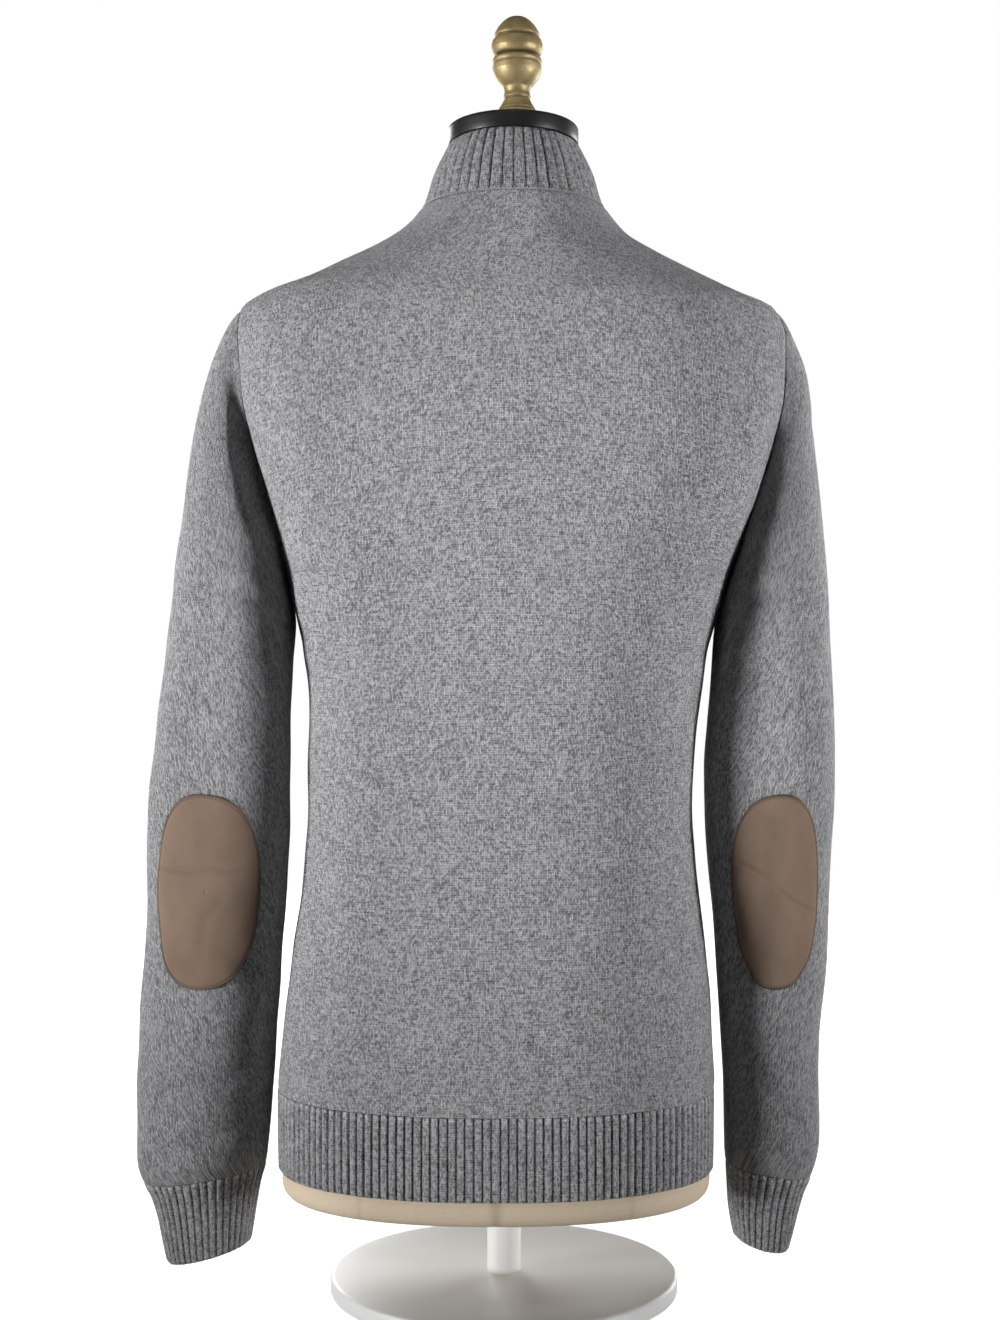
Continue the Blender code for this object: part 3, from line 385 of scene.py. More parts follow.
def sheet_shell(name, outer, inner, U, V, material, wrap=False, attrs=None):
    """A thin shell between two grids of points. U has one more column than the grid where it wraps."""
    rows, cols = outer.shape[:2]
    base = rows * cols
    pts = np.concatenate([outer.reshape(-1, 3), inner.reshape(-1, 3)])
    steps = cols if wrap else cols - 1
    i, j = np.meshgrid(np.arange(rows - 1), np.arange(steps), indexing="ij")
    k = (j + 1) % cols
    a, b, c, d = i * cols + j, i * cols + k, (i + 1) * cols + k, (i + 1) * cols + j
    if U.shape[1] == cols and wrap:
        raise ValueError("U needs a closing column")
    ua, ub, uc, ud = U[i, j], U[i, j + 1], U[i + 1, j + 1], U[i + 1, j]
    Vx = V if V.shape[1] == U.shape[1] else np.concatenate([V, V[:, :1]], 1)
    va, vb, vc, vd = Vx[i, j], Vx[i, j + 1], Vx[i + 1, j + 1], Vx[i + 1, j]
    n = np.cross(outer[1:, :steps] - outer[:-1, :steps], np.roll(outer, -1, 1)[:-1, :steps] - outer[:-1, :steps])
    inward = (inner - outer)[:-1, :steps]
    flip = np.sum(n * inward) < 0           # a, b, c, d must run anticlockwise seen from outside
    outq = np.stack([a, b, c, d], -1).reshape(-1, 4)
    outuv = np.stack([np.stack([ua, va], -1), np.stack([ub, vb], -1), np.stack([uc, vc], -1), np.stack([ud, vd], -1)], -2).reshape(-1, 4, 2)
    if flip:
        outq, outuv = outq[:, ::-1], outuv[:, ::-1]
    inq, inuv = (outq + base)[:, ::-1], outuv[:, ::-1]
    quads, uvs = [outq, inq], [outuv, inuv]

    def border(p, q, up, uq):
        p, q = np.asarray(p), np.asarray(q)
        quad = np.stack([p, q, q + base, p + base], -1)
        uvq = np.stack([up, uq, uq, up], -2)
        quads.append(quad)
        uvs.append(uvq)

    jj = np.arange(steps)
    kk = (jj + 1) % cols
    rev = not flip
    for r in (0, rows - 1):
        p, q = r * cols + jj, r * cols + kk
        up, uq = np.stack([U[r, jj], Vx[r, jj]], -1), np.stack([U[r, jj + 1], Vx[r, jj + 1]], -1)
        first = (r == 0) == rev
        border(*((q, p, uq, up) if first else (p, q, up, uq)))
    if not wrap:
        ii = np.arange(rows - 1)
        for cidx in (0, cols - 1):
            p, q = ii * cols + cidx, (ii + 1) * cols + cidx
            up, uq = np.stack([U[ii, cidx], V[ii, cidx]], -1), np.stack([U[ii + 1, cidx], V[ii + 1, cidx]], -1)
            first = (cidx == 0) == rev
            border(*((p, q, up, uq) if first else (q, p, uq, up)))
    at = None
    if attrs:
        at = {key: np.concatenate([val.ravel(), val.ravel()]) for key, val in attrs.items()}
    return mesh_from(name, pts, np.concatenate(quads), np.concatenate(uvs), material, at, border=sum(len(q) for q in quads[2:]))



# ------------------------------------------------------------------------------------------------
# materials
# ------------------------------------------------------------------------------------------------
class Nodes:
    """Small helper that strings shader nodes together."""

    def __init__(self, name):
        self.material = bpy.data.materials.new(name)
        self.material.use_nodes = True
        self.tree = self.material.node_tree
        self.bsdf = self.tree.nodes["Principled BSDF"]

    def new(self, kind, **props):
        node = self.tree.nodes.new(kind)
        for key, value in props.items():
            setattr(node, key, value)
        return node

    def link(self, a, b):
        self.tree.links.new(a, b)

    def put(self, socket, value):
        if isinstance(value, bpy.types.NodeSocket):
            self.link(value, socket)
        else:
            socket.default_value = value

    def math(self, op, a, b=None, c=None, clamp=False):
        node = self.new("ShaderNodeMath", operation=op, use_clamp=clamp)
        for i, v in enumerate((a, b, c)):
            if v is not None:
                self.put(node.inputs[i], v)
        return node.outputs[0]

    def uv(self):
        tex = self.new("ShaderNodeUVMap", uv_map="knit")
        sep = self.new("ShaderNodeSeparateXYZ")
        self.link(tex.outputs[0], sep.inputs[0])
        return sep.outputs[0], sep.outputs[1]

    def vector(self, x, y, z=0.0):
        node = self.new("ShaderNodeCombineXYZ")
        for i, v in enumerate((x, y, z)):
            self.put(node.inputs[i], v)
        return node.outputs[0]

    def noise(self, vector, scale=1.0, detail=2.0, rough=0.5):
        node = self.new("ShaderNodeTexNoise")
        self.link(vector, node.inputs["Vector"])
        node.inputs["Scale"].default_value = scale
        node.inputs["Detail"].default_value = detail
        node.inputs["Roughness"].default_value = rough
        return node.outputs[0]

    def remap(self, value, a, b, c, d):
        node = self.new("ShaderNodeMapRange")
        self.put(node.inputs[0], value)
        for i, v in enumerate((a, b, c, d)):
            node.inputs[i + 1].default_value = v
        return node.outputs[0]

    def attribute(self, name):
        return self.new("ShaderNodeAttribute", attribute_name=name).outputs["Fac"]

    def tint(self, colour, value):
        """A colour times a number."""
        node = self.new("ShaderNodeVectorMath", operation="SCALE")
        self.put(node.inputs[0], colour)
        self.put(node.inputs[3], value)
        return node.outputs[0]

    def mix(self, fac, a, b):
        node = self.new("ShaderNodeMix", data_type="RGBA")
        self.put(node.inputs[0], fac)
        self.put(node.inputs[6], a)
        self.put(node.inputs[7], b)
        return node.outputs[2]

    def bump(self, height, distance, strength=1.0, normal=None):
        node = self.new("ShaderNodeBump")
        self.put(node.inputs["Height"], height)
        node.inputs["Distance"].default_value = distance
        node.inputs["Strength"].default_value = strength
        if normal is not None:
            self.link(normal, node.inputs["Normal"])
        return node.outputs[0]

    def object_at(self, scale):
        tex = self.new("ShaderNodeTexCoord")
        node = self.new("ShaderNodeVectorMath", operation="SCALE")
        self.link(tex.outputs["Object"], node.inputs[0])
        node.inputs[3].default_value = scale
        return node.outputs[0]


def knit_material(name, level=1.0, wale=2.4, course=1.7, depth=0.0008, groove_shade_attr=False, groove_shade=0.34):
    """Stockinette in the melange grey yarn: columns of V stitches, in the mesh's own millimetres."""
    n = Nodes(name)
    u, v = n.uv()
    # slight wobble, so that the columns aren't ruled lines
    wob = n.noise(n.vector(n.math("MULTIPLY", u, 0.05), n.math("MULTIPLY", v, 0.09)), 1.0, 2.0)
    uw = n.math("ADD", u, n.math("MULTIPLY", n.math("SUBTRACT", wob, 0.5), 1.1))
    x = n.math("SUBTRACT", n.math("FRACT", n.math("DIVIDE", uw, wale)), 0.5)
    ax = n.math("ABSOLUTE", x)
    leg = n.math("SINE", n.math("MULTIPLY", ax, 2 * math.pi), clamp=True)
    leg = n.math("POWER", leg, 0.6)
    c = n.math("SUBTRACT", n.math("DIVIDE", v, course), n.math("MULTIPLY", ax, 1.35))
    loop = n.math("MULTIPLY_ADD", n.math("COSINE", n.math("MULTIPLY", c, 2 * math.pi)), 0.5, 0.5)
    height = n.math("MULTIPLY", leg, n.math("MULTIPLY_ADD", loop, 0.55, 0.45))
    # yarn colour: fine fibres, single dark and light loops, streaks along the courses, broad clouds
    fine = n.noise(n.vector(n.math("MULTIPLY", u, 1.0), n.math("MULTIPLY", v, 1.9)), 1.0, 2.0, 0.7)
    streak = n.noise(n.vector(n.math("MULTIPLY", u, 0.11), n.math("MULTIPLY", v, 0.85), 7.0), 1.0, 2.0, 0.6)
    cloud = n.noise(n.vector(n.math("MULTIPLY", u, 0.025), n.math("MULTIPLY", v, 0.04), 3.0), 1.0, 2.0, 0.5)
    cell = n.new("ShaderNodeTexWhiteNoise", noise_dimensions="2D")
    n.link(n.vector(n.math("FLOOR", n.math("DIVIDE", uw, wale / 2)), n.math("FLOOR", c)), cell.inputs["Vector"])
    total = n.math("MULTIPLY_ADD", n.math("SUBTRACT", fine, 0.5), 2.0, 1.0)
    total = n.math("MULTIPLY_ADD", n.math("SUBTRACT", streak, 0.5), 1.6, total)
    total = n.math("MULTIPLY_ADD", n.math("SUBTRACT", cloud, 0.5), 0.22, total)
    total = n.math("MULTIPLY_ADD", n.math("SUBTRACT", cell.outputs[0], 0.5), 0.95, total)
    total = n.math("MAXIMUM", total, 0.25)
    shade = n.math("MULTIPLY_ADD", height, 0.90, 0.50)
    value = n.math("MULTIPLY", total, n.math("MULTIPLY", shade, level))
    if groove_shade_attr:
        # painted shade: the rib grooves are darkened in the yarn's colour, standing in for the shade that falls between
        # the ribs
        value = n.math("MULTIPLY", value, n.remap(n.attribute("groove"), 0.0, 1.0, 1.0, groove_shade))
        value = n.math("MULTIPLY", value, n.remap(n.attribute("loops"), 0.0, 1.0, 1.0, 1.4))
    n.put(n.bsdf.inputs["Base Color"], n.tint((0.300, 0.300, 0.306), value))
    n.bsdf.inputs["Roughness"].default_value = 0.92
    n.bsdf.inputs["Specular IOR Level"].default_value = 0.18
    n.bsdf.inputs["Sheen Weight"].default_value = 0.12
    n.bsdf.inputs["Sheen Roughness"].default_value = 0.5
    fuzz = n.noise(n.vector(n.math("MULTIPLY", u, 2.2), n.math("MULTIPLY", v, 2.2), 1.0), 1.0, 3.0, 0.7)
    b = n.bump(fuzz, 0.00022, 0.8)
    n.link(n.bump(height, depth, 0.9, b), n.bsdf.inputs["Normal"])
    return n.material


def suede_material():
    n = Nodes("suede_taupe")
    u, v = n.uv()
    at = n.vector(u, v)
    nap = n.noise(n.vector(n.math("MULTIPLY", u, 0.055), n.math("MULTIPLY", v, 0.03)), 1.0, 4.0, 0.6)
    fine = n.noise(at, 1.4, 4.0, 0.75)
    value = n.math("MULTIPLY_ADD", n.math("SUBTRACT", nap, 0.5), 0.42, 1.0)
    value = n.math("MULTIPLY_ADD", n.math("SUBTRACT", fine, 0.5), 0.34, value)
    # painted shade: the suede is darkened along its crease lines, where shade falls into the folds
    value = n.math("MULTIPLY", value, n.remap(n.attribute("crease_shade"), 0.0, 1.0, 1.0, 0.80))
    # darker cut edge along the rim, plus painted shade in the stitched groove just inside it
    value = n.math("MULTIPLY", value, n.remap(n.attribute("edge"), 0.0, 1.0, 1.0, 0.42))
    n.put(n.bsdf.inputs["Base Color"], n.tint((0.212, 0.149, 0.112), value))
    n.bsdf.inputs["Roughness"].default_value = 0.95
    n.bsdf.inputs["Specular IOR Level"].default_value = 0.12
    n.bsdf.inputs["Sheen Weight"].default_value = 0.22
    n.bsdf.inputs["Sheen Roughness"].default_value = 0.4
    grain = n.noise(at, 3.0, 3.0, 0.7)
    n.link(n.bump(fine, 0.00025, 0.6, n.bump(grain, 0.0002, 0.5)), n.bsdf.inputs["Normal"])
    return n.material


def thread_material(name, colour, scale=2600.0):
    n = Nodes(name)
    at = n.object_at(scale)
    fine = n.noise(at, 1.0, 2.0, 0.6)
    n.put(n.bsdf.inputs["Base Color"], n.tint(colour, n.math("MULTIPLY_ADD", n.math("SUBTRACT", fine, 0.5), 0.8, 1.0)))
    n.bsdf.inputs["Roughness"].default_value = 0.85
    n.bsdf.inputs["Specular IOR Level"].default_value = 0.2
    n.link(n.bump(fine, 0.0002, 0.6), n.bsdf.inputs["Normal"])
    return n.material


def tape_material():
    n = Nodes("zip_tape")
    u, v = n.uv()
    twill = n.math("MULTIPLY_ADD", n.math("SINE", n.math("MULTIPLY", n.math("ADD", u, n.math("MULTIPLY", v, 0.7)), 9.0)), 0.5, 0.5)
    rows = n.math("MULTIPLY_ADD", n.math("SINE", n.math("MULTIPLY", v, 12.0)), 0.5, 0.5)
    height = n.math("MULTIPLY", twill, n.math("MULTIPLY_ADD", rows, 0.5, 0.5))
    fine = n.noise(n.vector(u, v), 2.0, 3.0, 0.6)
    value = n.math("MULTIPLY_ADD", height, 0.5, n.math("MULTIPLY", fine, 1.0))
    n.put(n.bsdf.inputs["Base Color"], n.tint((0.088, 0.088, 0.094), value))
    n.bsdf.inputs["Roughness"].default_value = 0.85
    n.bsdf.inputs["Specular IOR Level"].default_value = 0.25
    n.link(n.bump(height, 0.00025, 0.8), n.bsdf.inputs["Normal"])
    return n.material


def metal_material(name, colour, dark, rough_low, rough_high, scale, groove=False, metallic=1.0):
    n = Nodes(name)
    at = n.object_at(scale)
    wear = n.noise(at, 1.0, 5.0, 0.65)
    fine = n.noise(at, 6.0, 3.0, 0.6)
    fac = n.remap(wear, 0.38, 0.66, 0.0, 1.0)
    col = n.mix(fac, (*dark, 1.0), (*colour, 1.0))
    if groove:
        col = n.mix(n.attribute("groove"), col, (0.05, 0.035, 0.015, 1.0))
    n.put(n.bsdf.inputs["Base Color"], col)
    n.bsdf.inputs["Metallic"].default_value = metallic
    n.put(n.bsdf.inputs["Roughness"], n.remap(fine, 0.3, 0.7, rough_low, rough_high))
    n.link(n.bump(fine, 0.00008, 0.35), n.bsdf.inputs["Normal"])
    return n.material


def linen_material():
    n = Nodes("form_linen")
    u, v = n.uv()
    warp = n.math("MULTIPLY_ADD", n.math("SINE", n.math("MULTIPLY", u, 2 * math.pi / 0.8)), 0.5, 0.5)
    weft = n.math("MULTIPLY_ADD", n.math("SINE", n.math("MULTIPLY", v, 2 * math.pi / 0.8)), 0.5, 0.5)
    weave = n.math("MULTIPLY", warp, weft)
    slub = n.noise(n.vector(n.math("MULTIPLY", u, 0.12), n.math("MULTIPLY", v, 1.2)), 1.0, 3.0, 0.6)
    slub2 = n.noise(n.vector(n.math("MULTIPLY", u, 1.2), n.math("MULTIPLY", v, 0.12), 4.0), 1.0, 3.0, 0.6)
    stain = n.noise(n.vector(n.math("MULTIPLY", u, 0.02), n.math("MULTIPLY", v, 0.03), 9.0), 1.0, 3.0, 0.5)
    value = n.math("MULTIPLY_ADD", n.math("SUBTRACT", slub, 0.5), 0.22, 1.0)
    value = n.math("MULTIPLY_ADD", n.math("SUBTRACT", slub2, 0.5), 0.18, value)
    value = n.math("MULTIPLY_ADD", n.math("SUBTRACT", stain, 0.5), 0.16, value)
    value = n.math("MULTIPLY", value, n.math("MULTIPLY_ADD", weave, 0.16, 0.92))
    value = n.math("MULTIPLY", value, n.remap(n.attribute("seam"), 0.0, 1.0, 1.0, 0.72))
    n.put(n.bsdf.inputs["Base Color"], n.tint((0.650, 0.540, 0.400), value))
    n.bsdf.inputs["Roughness"].default_value = 0.82
    n.bsdf.inputs["Specular IOR Level"].default_value = 0.25
    n.bsdf.inputs["Sheen Weight"].default_value = 0.05
    n.link(n.bump(weave, 0.00015, 0.5, n.bump(slub, 0.0002, 0.4)), n.bsdf.inputs["Normal"])
    return n.material


def lacquer_material():
    n = Nodes("cap_black")
    at = n.object_at(60.0)
    faint = n.noise(at, 1.0, 3.0, 0.5)
    n.put(n.bsdf.inputs["Base Color"], n.tint((0.016, 0.016, 0.017), n.math("MULTIPLY_ADD", faint, 0.6, 0.7)))
    n.put(n.bsdf.inputs["Roughness"], n.remap(faint, 0.3, 0.7, 0.34, 0.42))
    n.bsdf.inputs["Specular IOR Level"].default_value = 0.25
    n.bsdf.inputs["Coat Weight"].default_value = 0.08
    n.bsdf.inputs["Coat Roughness"].default_value = 0.12
    return n.material


def paint_material():
    n = Nodes("stand_white")
    at = n.object_at(700.0)
    peel = n.noise(at, 1.0, 2.0, 0.5)
    n.put(n.bsdf.inputs["Base Color"], n.tint((0.80, 0.80, 0.79), n.math("MULTIPLY_ADD", peel, 0.06, 0.97)))
    n.put(n.bsdf.inputs["Roughness"], n.remap(peel, 0.3, 0.7, 0.38, 0.5))
    n.link(n.bump(peel, 0.0001, 0.25), n.bsdf.inputs["Normal"])
    return n.material


KNIT = knit_material("knit_grey")
RIB = knit_material("rib_grey", level=0.95, depth=0.00045, groove_shade_attr=True, groove_shade=0.42)
CUFF_RIB = knit_material("cuff_grey", level=0.95, depth=0.00045, groove_shade_attr=True, groove_shade=0.55)
# painted shade: the collar is the body's yarn toned down to level 0.76, where less light falls on it
COLLAR_RIB_SHADED = knit_material("collar_grey_shaded", level=0.76, depth=0.00045, groove_shade_attr=True, groove_shade=0.6)
LINK = thread_material("linking_yarn", (0.36, 0.36, 0.365))
SUEDE = suede_material()
SUEDE_THREAD = thread_material("patch_thread", (0.085, 0.065, 0.052))
TAPE = tape_material()
TEETH = metal_material("zip_metal", (0.55, 0.54, 0.52), (0.32, 0.31, 0.30), 0.22, 0.4, 900.0)
BRASS = metal_material("finial_brass", (0.430, 0.335, 0.165), (0.290, 0.215, 0.100), 0.46, 0.60, 90.0, groove=True, metallic=0.55)
LINEN = linen_material()
LACQUER = lacquer_material()
PAINT = paint_material()



# ------------------------------------------------------------------------------------------------
# folds and soft unevenness: how far the cloth stands out (+) or in (-), in mm, from points in mm
# ------------------------------------------------------------------------------------------------
def along_line(px, pz, line):
    """Distance of each point to a line of points (x, z), and its share along it."""
    line = np.array(line, float)
    seg = np.diff(line, axis=0)
    size = np.linalg.norm(seg, axis=1)
    start = np.concatenate([[0], np.cumsum(size)])
    best = np.full(px.shape, 1e9)
    share = np.zeros(px.shape)
    side = np.zeros(px.shape)
    for k in range(len(seg)):
        dx, dz = px - line[k, 0], pz - line[k, 1]
        t = np.clip((dx * seg[k, 0] + dz * seg[k, 1]) / size[k] ** 2, 0, 1)
        ex, ez = dx - t * seg[k, 0], dz - t * seg[k, 1]
        d = np.hypot(ex, ez)
        near = d < best
        best = np.where(near, d, best)
        share = np.where(near, (start[k] + t * size[k]) / start[-1], share)
        side = np.where(near, np.sign(seg[k, 0] * ez - seg[k, 1] * ex), side)
    return best, share, side


def fold(px, pz, line, width, depth, fade=0.28):
    """A soft trough (depth below 0) or ridge along a line, fading at both ends, with a low shoulder beside it."""
    d, t, _ = along_line(px, pz, line)
    taper = ease(t / fade) * ease((1 - t) / fade)
    g = np.exp(-(d / width) ** 2)
    shoulder = np.exp(-((d - 1.9 * width) / (1.1 * width)) ** 2)
    return taper * depth * (g - 0.28 * shoulder)


def swell(p, size, seed):
    """Slow, even unevenness from a few crossing waves."""
    x, y, z = p[..., 0] / size, p[..., 1] / size, p[..., 2] / size
    total = 0.0
    for k in range(5):
        a = seed * 1.7 + k * 2.399
        total = total + np.sin(x * math.cos(a) * 1.9 + y * math.sin(a) * 1.9 + z * math.sin(a * 1.3 + 0.6) * 1.6 + a * 3.1)
    return total / 3.2


# lines of (x, z) in mm; the wearer's left is +x
BACK_FOLDS = (
    # (line, width, depth)
    (((150, 560), (128, 572), (96, 570), (64, 556)), 9.0, -1.3),
    (((162, 500), (140, 488), (112, 470), (88, 446)), 10.0, -1.5),
    (((158, 532), (136, 530), (104, 520), (74, 500)), 8.0, 1.0),
    (((-156, 548), (-134, 556), (-104, 552), (-76, 536)), 9.0, -1.2),
    (((-156, 492), (-134, 476), (-104, 456), (-82, 436)), 10.0, -1.4),
    (((-150, 520), (-126, 514), (-98, 500), (-72, 478)), 8.0, 0.9),
    (((-52, 404), (-20, 392), (18, 390), (56, 402)), 11.0, -0.9),
    (((-70, 352), (-24, 344), (30, 346), (84, 360)), 10.0, 0.8),
    (((120, 420), (96, 402), (70, 392)), 8.0, -1.0),
    (((-118, 414), (-94, 398), (-66, 390)), 8.0, -1.0),
    (((128, 330), (124, 280), (130, 226), (128, 184)), 12.0, -1.0),
    (((-120, 322), (-118, 268), (-124, 220), (-122, 180)), 12.0, -1.0),
    (((60, 260), (66, 214), (62, 168)), 14.0, 0.8),
    (((-44, 268), (-50, 216), (-46, 170)), 14.0, 0.8),
    (((176, 690), (168, 650), (160, 610), (156, 575)), 9.0, -1.2),
    (((-176, 688), (-168, 648), (-160, 608), (-156, 572)), 9.0, -1.2),
)
FRONT_FOLDS = (
    (((150, 556), (124, 566), (90, 560), (60, 545)), 9.0, -1.5),
    (((158, 498), (132, 482), (104, 462), (78, 432)), 10.0, -1.6),
    (((-152, 552), (-126, 560), (-94, 552), (-62, 534)), 9.0, -1.4),
    (((-156, 496), (-132, 478), (-104, 458), (-76, 430)), 10.0, -1.6),
    (((128, 386), (92, 372), (50, 370)), 10.0, -1.2),
    (((-124, 392), (-90, 376), (-46, 372)), 10.0, -1.2),
    (((112, 250), (106, 210), (110, 168)), 13.0, -1.0),
    (((-108, 256), (-102, 212), (-106, 168)), 13.0, -1.0),
    (((178, 690), (170, 650), (160, 606), (154, 572)), 9.0, -1.3),
    (((-178, 690), (-168, 648), (-158, 606), (-152, 570)), 9.0, -1.3),
)
# the same for each sleeve, seen from behind, with x as distance from the middle plane
SLEEVE_FOLDS_LEFT = (
    (((170, 505), (190, 520), (214, 524), (238, 516)), 8.0, -2.2),
    (((166, 470), (186, 476), (212, 470)), 8.0, -1.6),
    (((176, 560), (184, 600), (192, 650)), 9.0, -1.6),
    (((168, 436), (200, 440), (236, 430)), 9.0, 1.2),
    (((172, 402), (206, 404), (244, 392)), 8.0, -1.8),
    (((178, 330), (210, 322), (250, 326)), 8.0, -1.2),
    (((172, 246), (204, 252), (246, 244)), 8.0, -1.5),
    (((184, 204), (214, 196), (256, 202)), 8.0, 1.2),
    (((178, 172), (204, 164), (232, 168)), 7.0, -1.8),
    (((220, 150), (244, 142), (272, 148)), 7.0, -1.6),
    (((184, 126), (214, 120), (250, 124)), 6.5, -1.8),
    (((232, 108), (252, 102), (272, 106)), 5.5, -1.5),
)
SLEEVE_FOLDS_RIGHT = (
    (((166, 500), (184, 518), (206, 522), (228, 512)), 8.0, -2.2),
    (((170, 585), (182, 620), (196, 662)), 9.0, -2.0),
    (((232, 640), (214, 652), (198, 668)), 7.0, -1.6),
    (((160, 452), (186, 462), (216, 456)), 8.0, -1.7),
    (((158, 414), (190, 420), (224, 410)), 9.0, 1.2),
    (((160, 384), (190, 386), (228, 376)), 8.0, -1.7),
    (((162, 322), (196, 314), (232, 318)), 8.0, -1.2),
    (((166, 240), (196, 246), (232, 236)), 8.0, -1.7),
    (((172, 206), (198, 198), (228, 204)), 8.0, 1.2),
    (((170, 170), (194, 164), (220, 172)), 7.0, -1.8),
    (((190, 146), (212, 140), (236, 146)), 6.5, -1.6),
    (((170, 122), (194, 116), (222, 120)), 6.5, -1.8),
    (((196, 102), (212, 98), (230, 102)), 5.5, -1.4),
)


def relief(p, lines, seed, mirror=1):
    d = 0.55 * swell(p, 34.0, seed) + 0.35 * swell(p, 15.0, seed + 4)
    for line, width, depth in lines:
        d = d + fold(p[..., 0] * mirror, p[..., 2], line, width, depth)
    return d


# ------------------------------------------------------------------------------------------------
# knitted panels
# ------------------------------------------------------------------------------------------------
EDGE_STEPS = np.array([0.0, 0.7, 1.5, 2.6, 4.2])


def spaced(length, step):
    """Places from 0 to length, close together near both ends, where the seams are."""
    inner = np.linspace(6.4, length - 6.4, max(3, int(round((length - 12.8) / step)) + 1))
    return np.concatenate([EDGE_STEPS, inner, (length - EDGE_STEPS)[::-1]])


def seam_dip(distance, depth):
    return -depth * np.exp(-(distance / 1.5) ** 2) + 0.26 * depth * np.exp(-((distance - 4.6) / 2.2) ** 2)


def lengths(points, axis):
    step = np.linalg.norm(np.diff(points, axis=axis), axis=-1)
    shape = list(step.shape)
    shape[axis] = 1
    return np.concatenate([np.zeros(shape), np.cumsum(step, axis=axis)], axis=axis)


def ring_turns(start, stop, level, places):
    """Turns at shares of the arc between two boundaries on the body ring."""
    t = np.linspace(start, stop, 241)
    p = body(t, np.full_like(t, level))
    run = np.concatenate([[0], np.cumsum(np.linalg.norm(np.diff(p, axis=0), axis=1))])
    return np.interp(places * run[-1], run, t)


def side_limit(level, side, face):
    half_gap = 0.06
    y = half_gap
    if ARMPIT < level < SHOULDER_TIP:
        c = 2 * (level - ARMPIT) / (SHOULDER_TIP - ARMPIT) - 1
        depth = ARMHOLE_BACK if face > 0 else ARMHOLE_FRONT
        y = max(half_gap, depth * math.sqrt(1 - c * c) ** 0.85)
    return float(turn_at_y(level, face * y, side))


def limits_of(kind, level):
    if kind == "back":
        return side_limit(level, -1, 1), side_limit(level, 1, 1)
    side = 1 if kind == "left" else -1
    seam, edge = side_limit(level, side, -1), float(turn_at_zip(body, level, ZIP_HALF))
    return (seam, edge) if side > 0 else (-edge, seam)


def panel(name, kind, low, high, step, lines, seed):
    height = high - low
    levels = low + spaced(height, step)
    hole = (levels > ARMPIT) & (levels < SHOULDER_TIP)
    extra = ARMPIT + np.array([0.6, 2.0, 4.0, 195.0, 197.0])
    levels = np.unique(np.round(np.concatenate([levels, extra]), 3))
    span = 470.0 if kind == "back" else 250.0
    places = spaced(span, step) / span
    turns = np.array([ring_turns(*limits_of(kind, v), v, places) for v in levels])
    grid = np.repeat(levels[:, None], turns.shape[1], 1)
    base = body_at(turns, grid)
    across = lengths(base, 1)
    up = lengths(base, 0)
    left, right = across, across[:, -1:] - across
    if kind == "back":
        u = across - across[:, -1:] / 2
    elif kind == "left":
        u = right
    else:
        u = left
    d = relief(base, lines, seed)
    quiet = ease(np.minimum(left, right) / 9.0) * ease((levels[:, None] - low) / 8.0) * ease((high - levels[:, None]) / 10.0)
    d = d * quiet
    zip_edge = {"back": np.full_like(left, 99.0), "left": right, "right": left}[kind]
    seams = np.minimum(left, right) if kind == "back" else (left if kind == "left" else right)
    d = d + seam_dip(seams, 0.22)
    d = d + 0.45 * np.exp(-((zip_edge - 2.0) / 2.6) ** 2) - 0.5 * np.exp(-(zip_edge / 0.9) ** 2)
    d = d + seam_dip(grid - low, 0.3) + seam_dip((high - grid) * np.ones_like(d), 0.5)
    outer = body_at(turns, grid, -d)
    inner = body_at(turns, grid, -d + KNIT_WALL - 0.2)
    obj = sheet_shell(name, outer, inner, u, up, KNIT)
    return obj


def rib_columns(count, per):
    """Places along a ribbed edge: the rib number, and the share within the rib, closer together at the grooves."""
    share = np.array([0.0, 0.05, 0.12, 0.22, 0.36, 0.5, 0.64, 0.78, 0.88, 0.95])[:per]
    place = (np.arange(count)[:, None] + share[None]).ravel()
    return np.concatenate([place, [count]])


def rib_form(place, width=0.115, deep=1.25):
    f = place - np.floor(place + 1e-9)
    away = np.minimum(f, 1 - f)
    groove = np.exp(-(away / width) ** 2)
    crown = 0.22 * np.cos((f - 0.5) * 2 * math.pi)
    return -deep * groove + crown, groove


def hem(name, kind, ribs, seed):
    levels = HEM_BOTTOM + np.array([0, 0.5, 1.2, 2.4, 4.4, 7.5, 11, 15, 19, 23, 27, 31, 35, 39, 43, 47, 50.5, 53.5, 55.8, 57.4, 58.4, 58.95])
    place = rib_columns(ribs, 10)
    turns = np.array([ring_turns(*limits_of(kind, v), v, place / ribs) for v in levels])
    grid = np.repeat(levels[:, None], turns.shape[1], 1)
    base = body_at(turns, grid)
    form, groove = rib_form(place)
    z = grid - HEM_BOTTOM
    # slow waves of the whole band, and each rib a little its own
    own = 0.16 * np.sin(np.floor(place) * 2.1 + seed) + 0.12 * np.sin(np.floor(place) * 5.3 + seed)
    d = form[None] * (0.9 + 0.1 * np.sin(z / 9.0 + place[None] * 0.7)) + own[None] + 0.5 * swell(base, 30.0, seed)
    d = d - 1.3 * np.exp(-(z / 1.1) ** 2) - 0.35 * np.exp(-((58.95 - z) / 1.3) ** 2)
    outer = body_at(turns, grid, -d)
    inner = body_at(turns, grid, np.full_like(d, RIB_WALL) - 0.5 * swell(base, 30.0, seed) - 0.9 * np.exp(-(z / 1.1) ** 2))
    u = np.repeat(((3 * place + 0.5) * 2.4)[None], len(levels), 0)
    top = np.exp(-((z - 57.2) / 1.2) ** 2) * (1 - groove[None]) * 0.85
    return sheet_shell(name, outer, inner, u, z, RIB, attrs={"groove": np.repeat(groove[None], len(levels), 0), "loops": top})


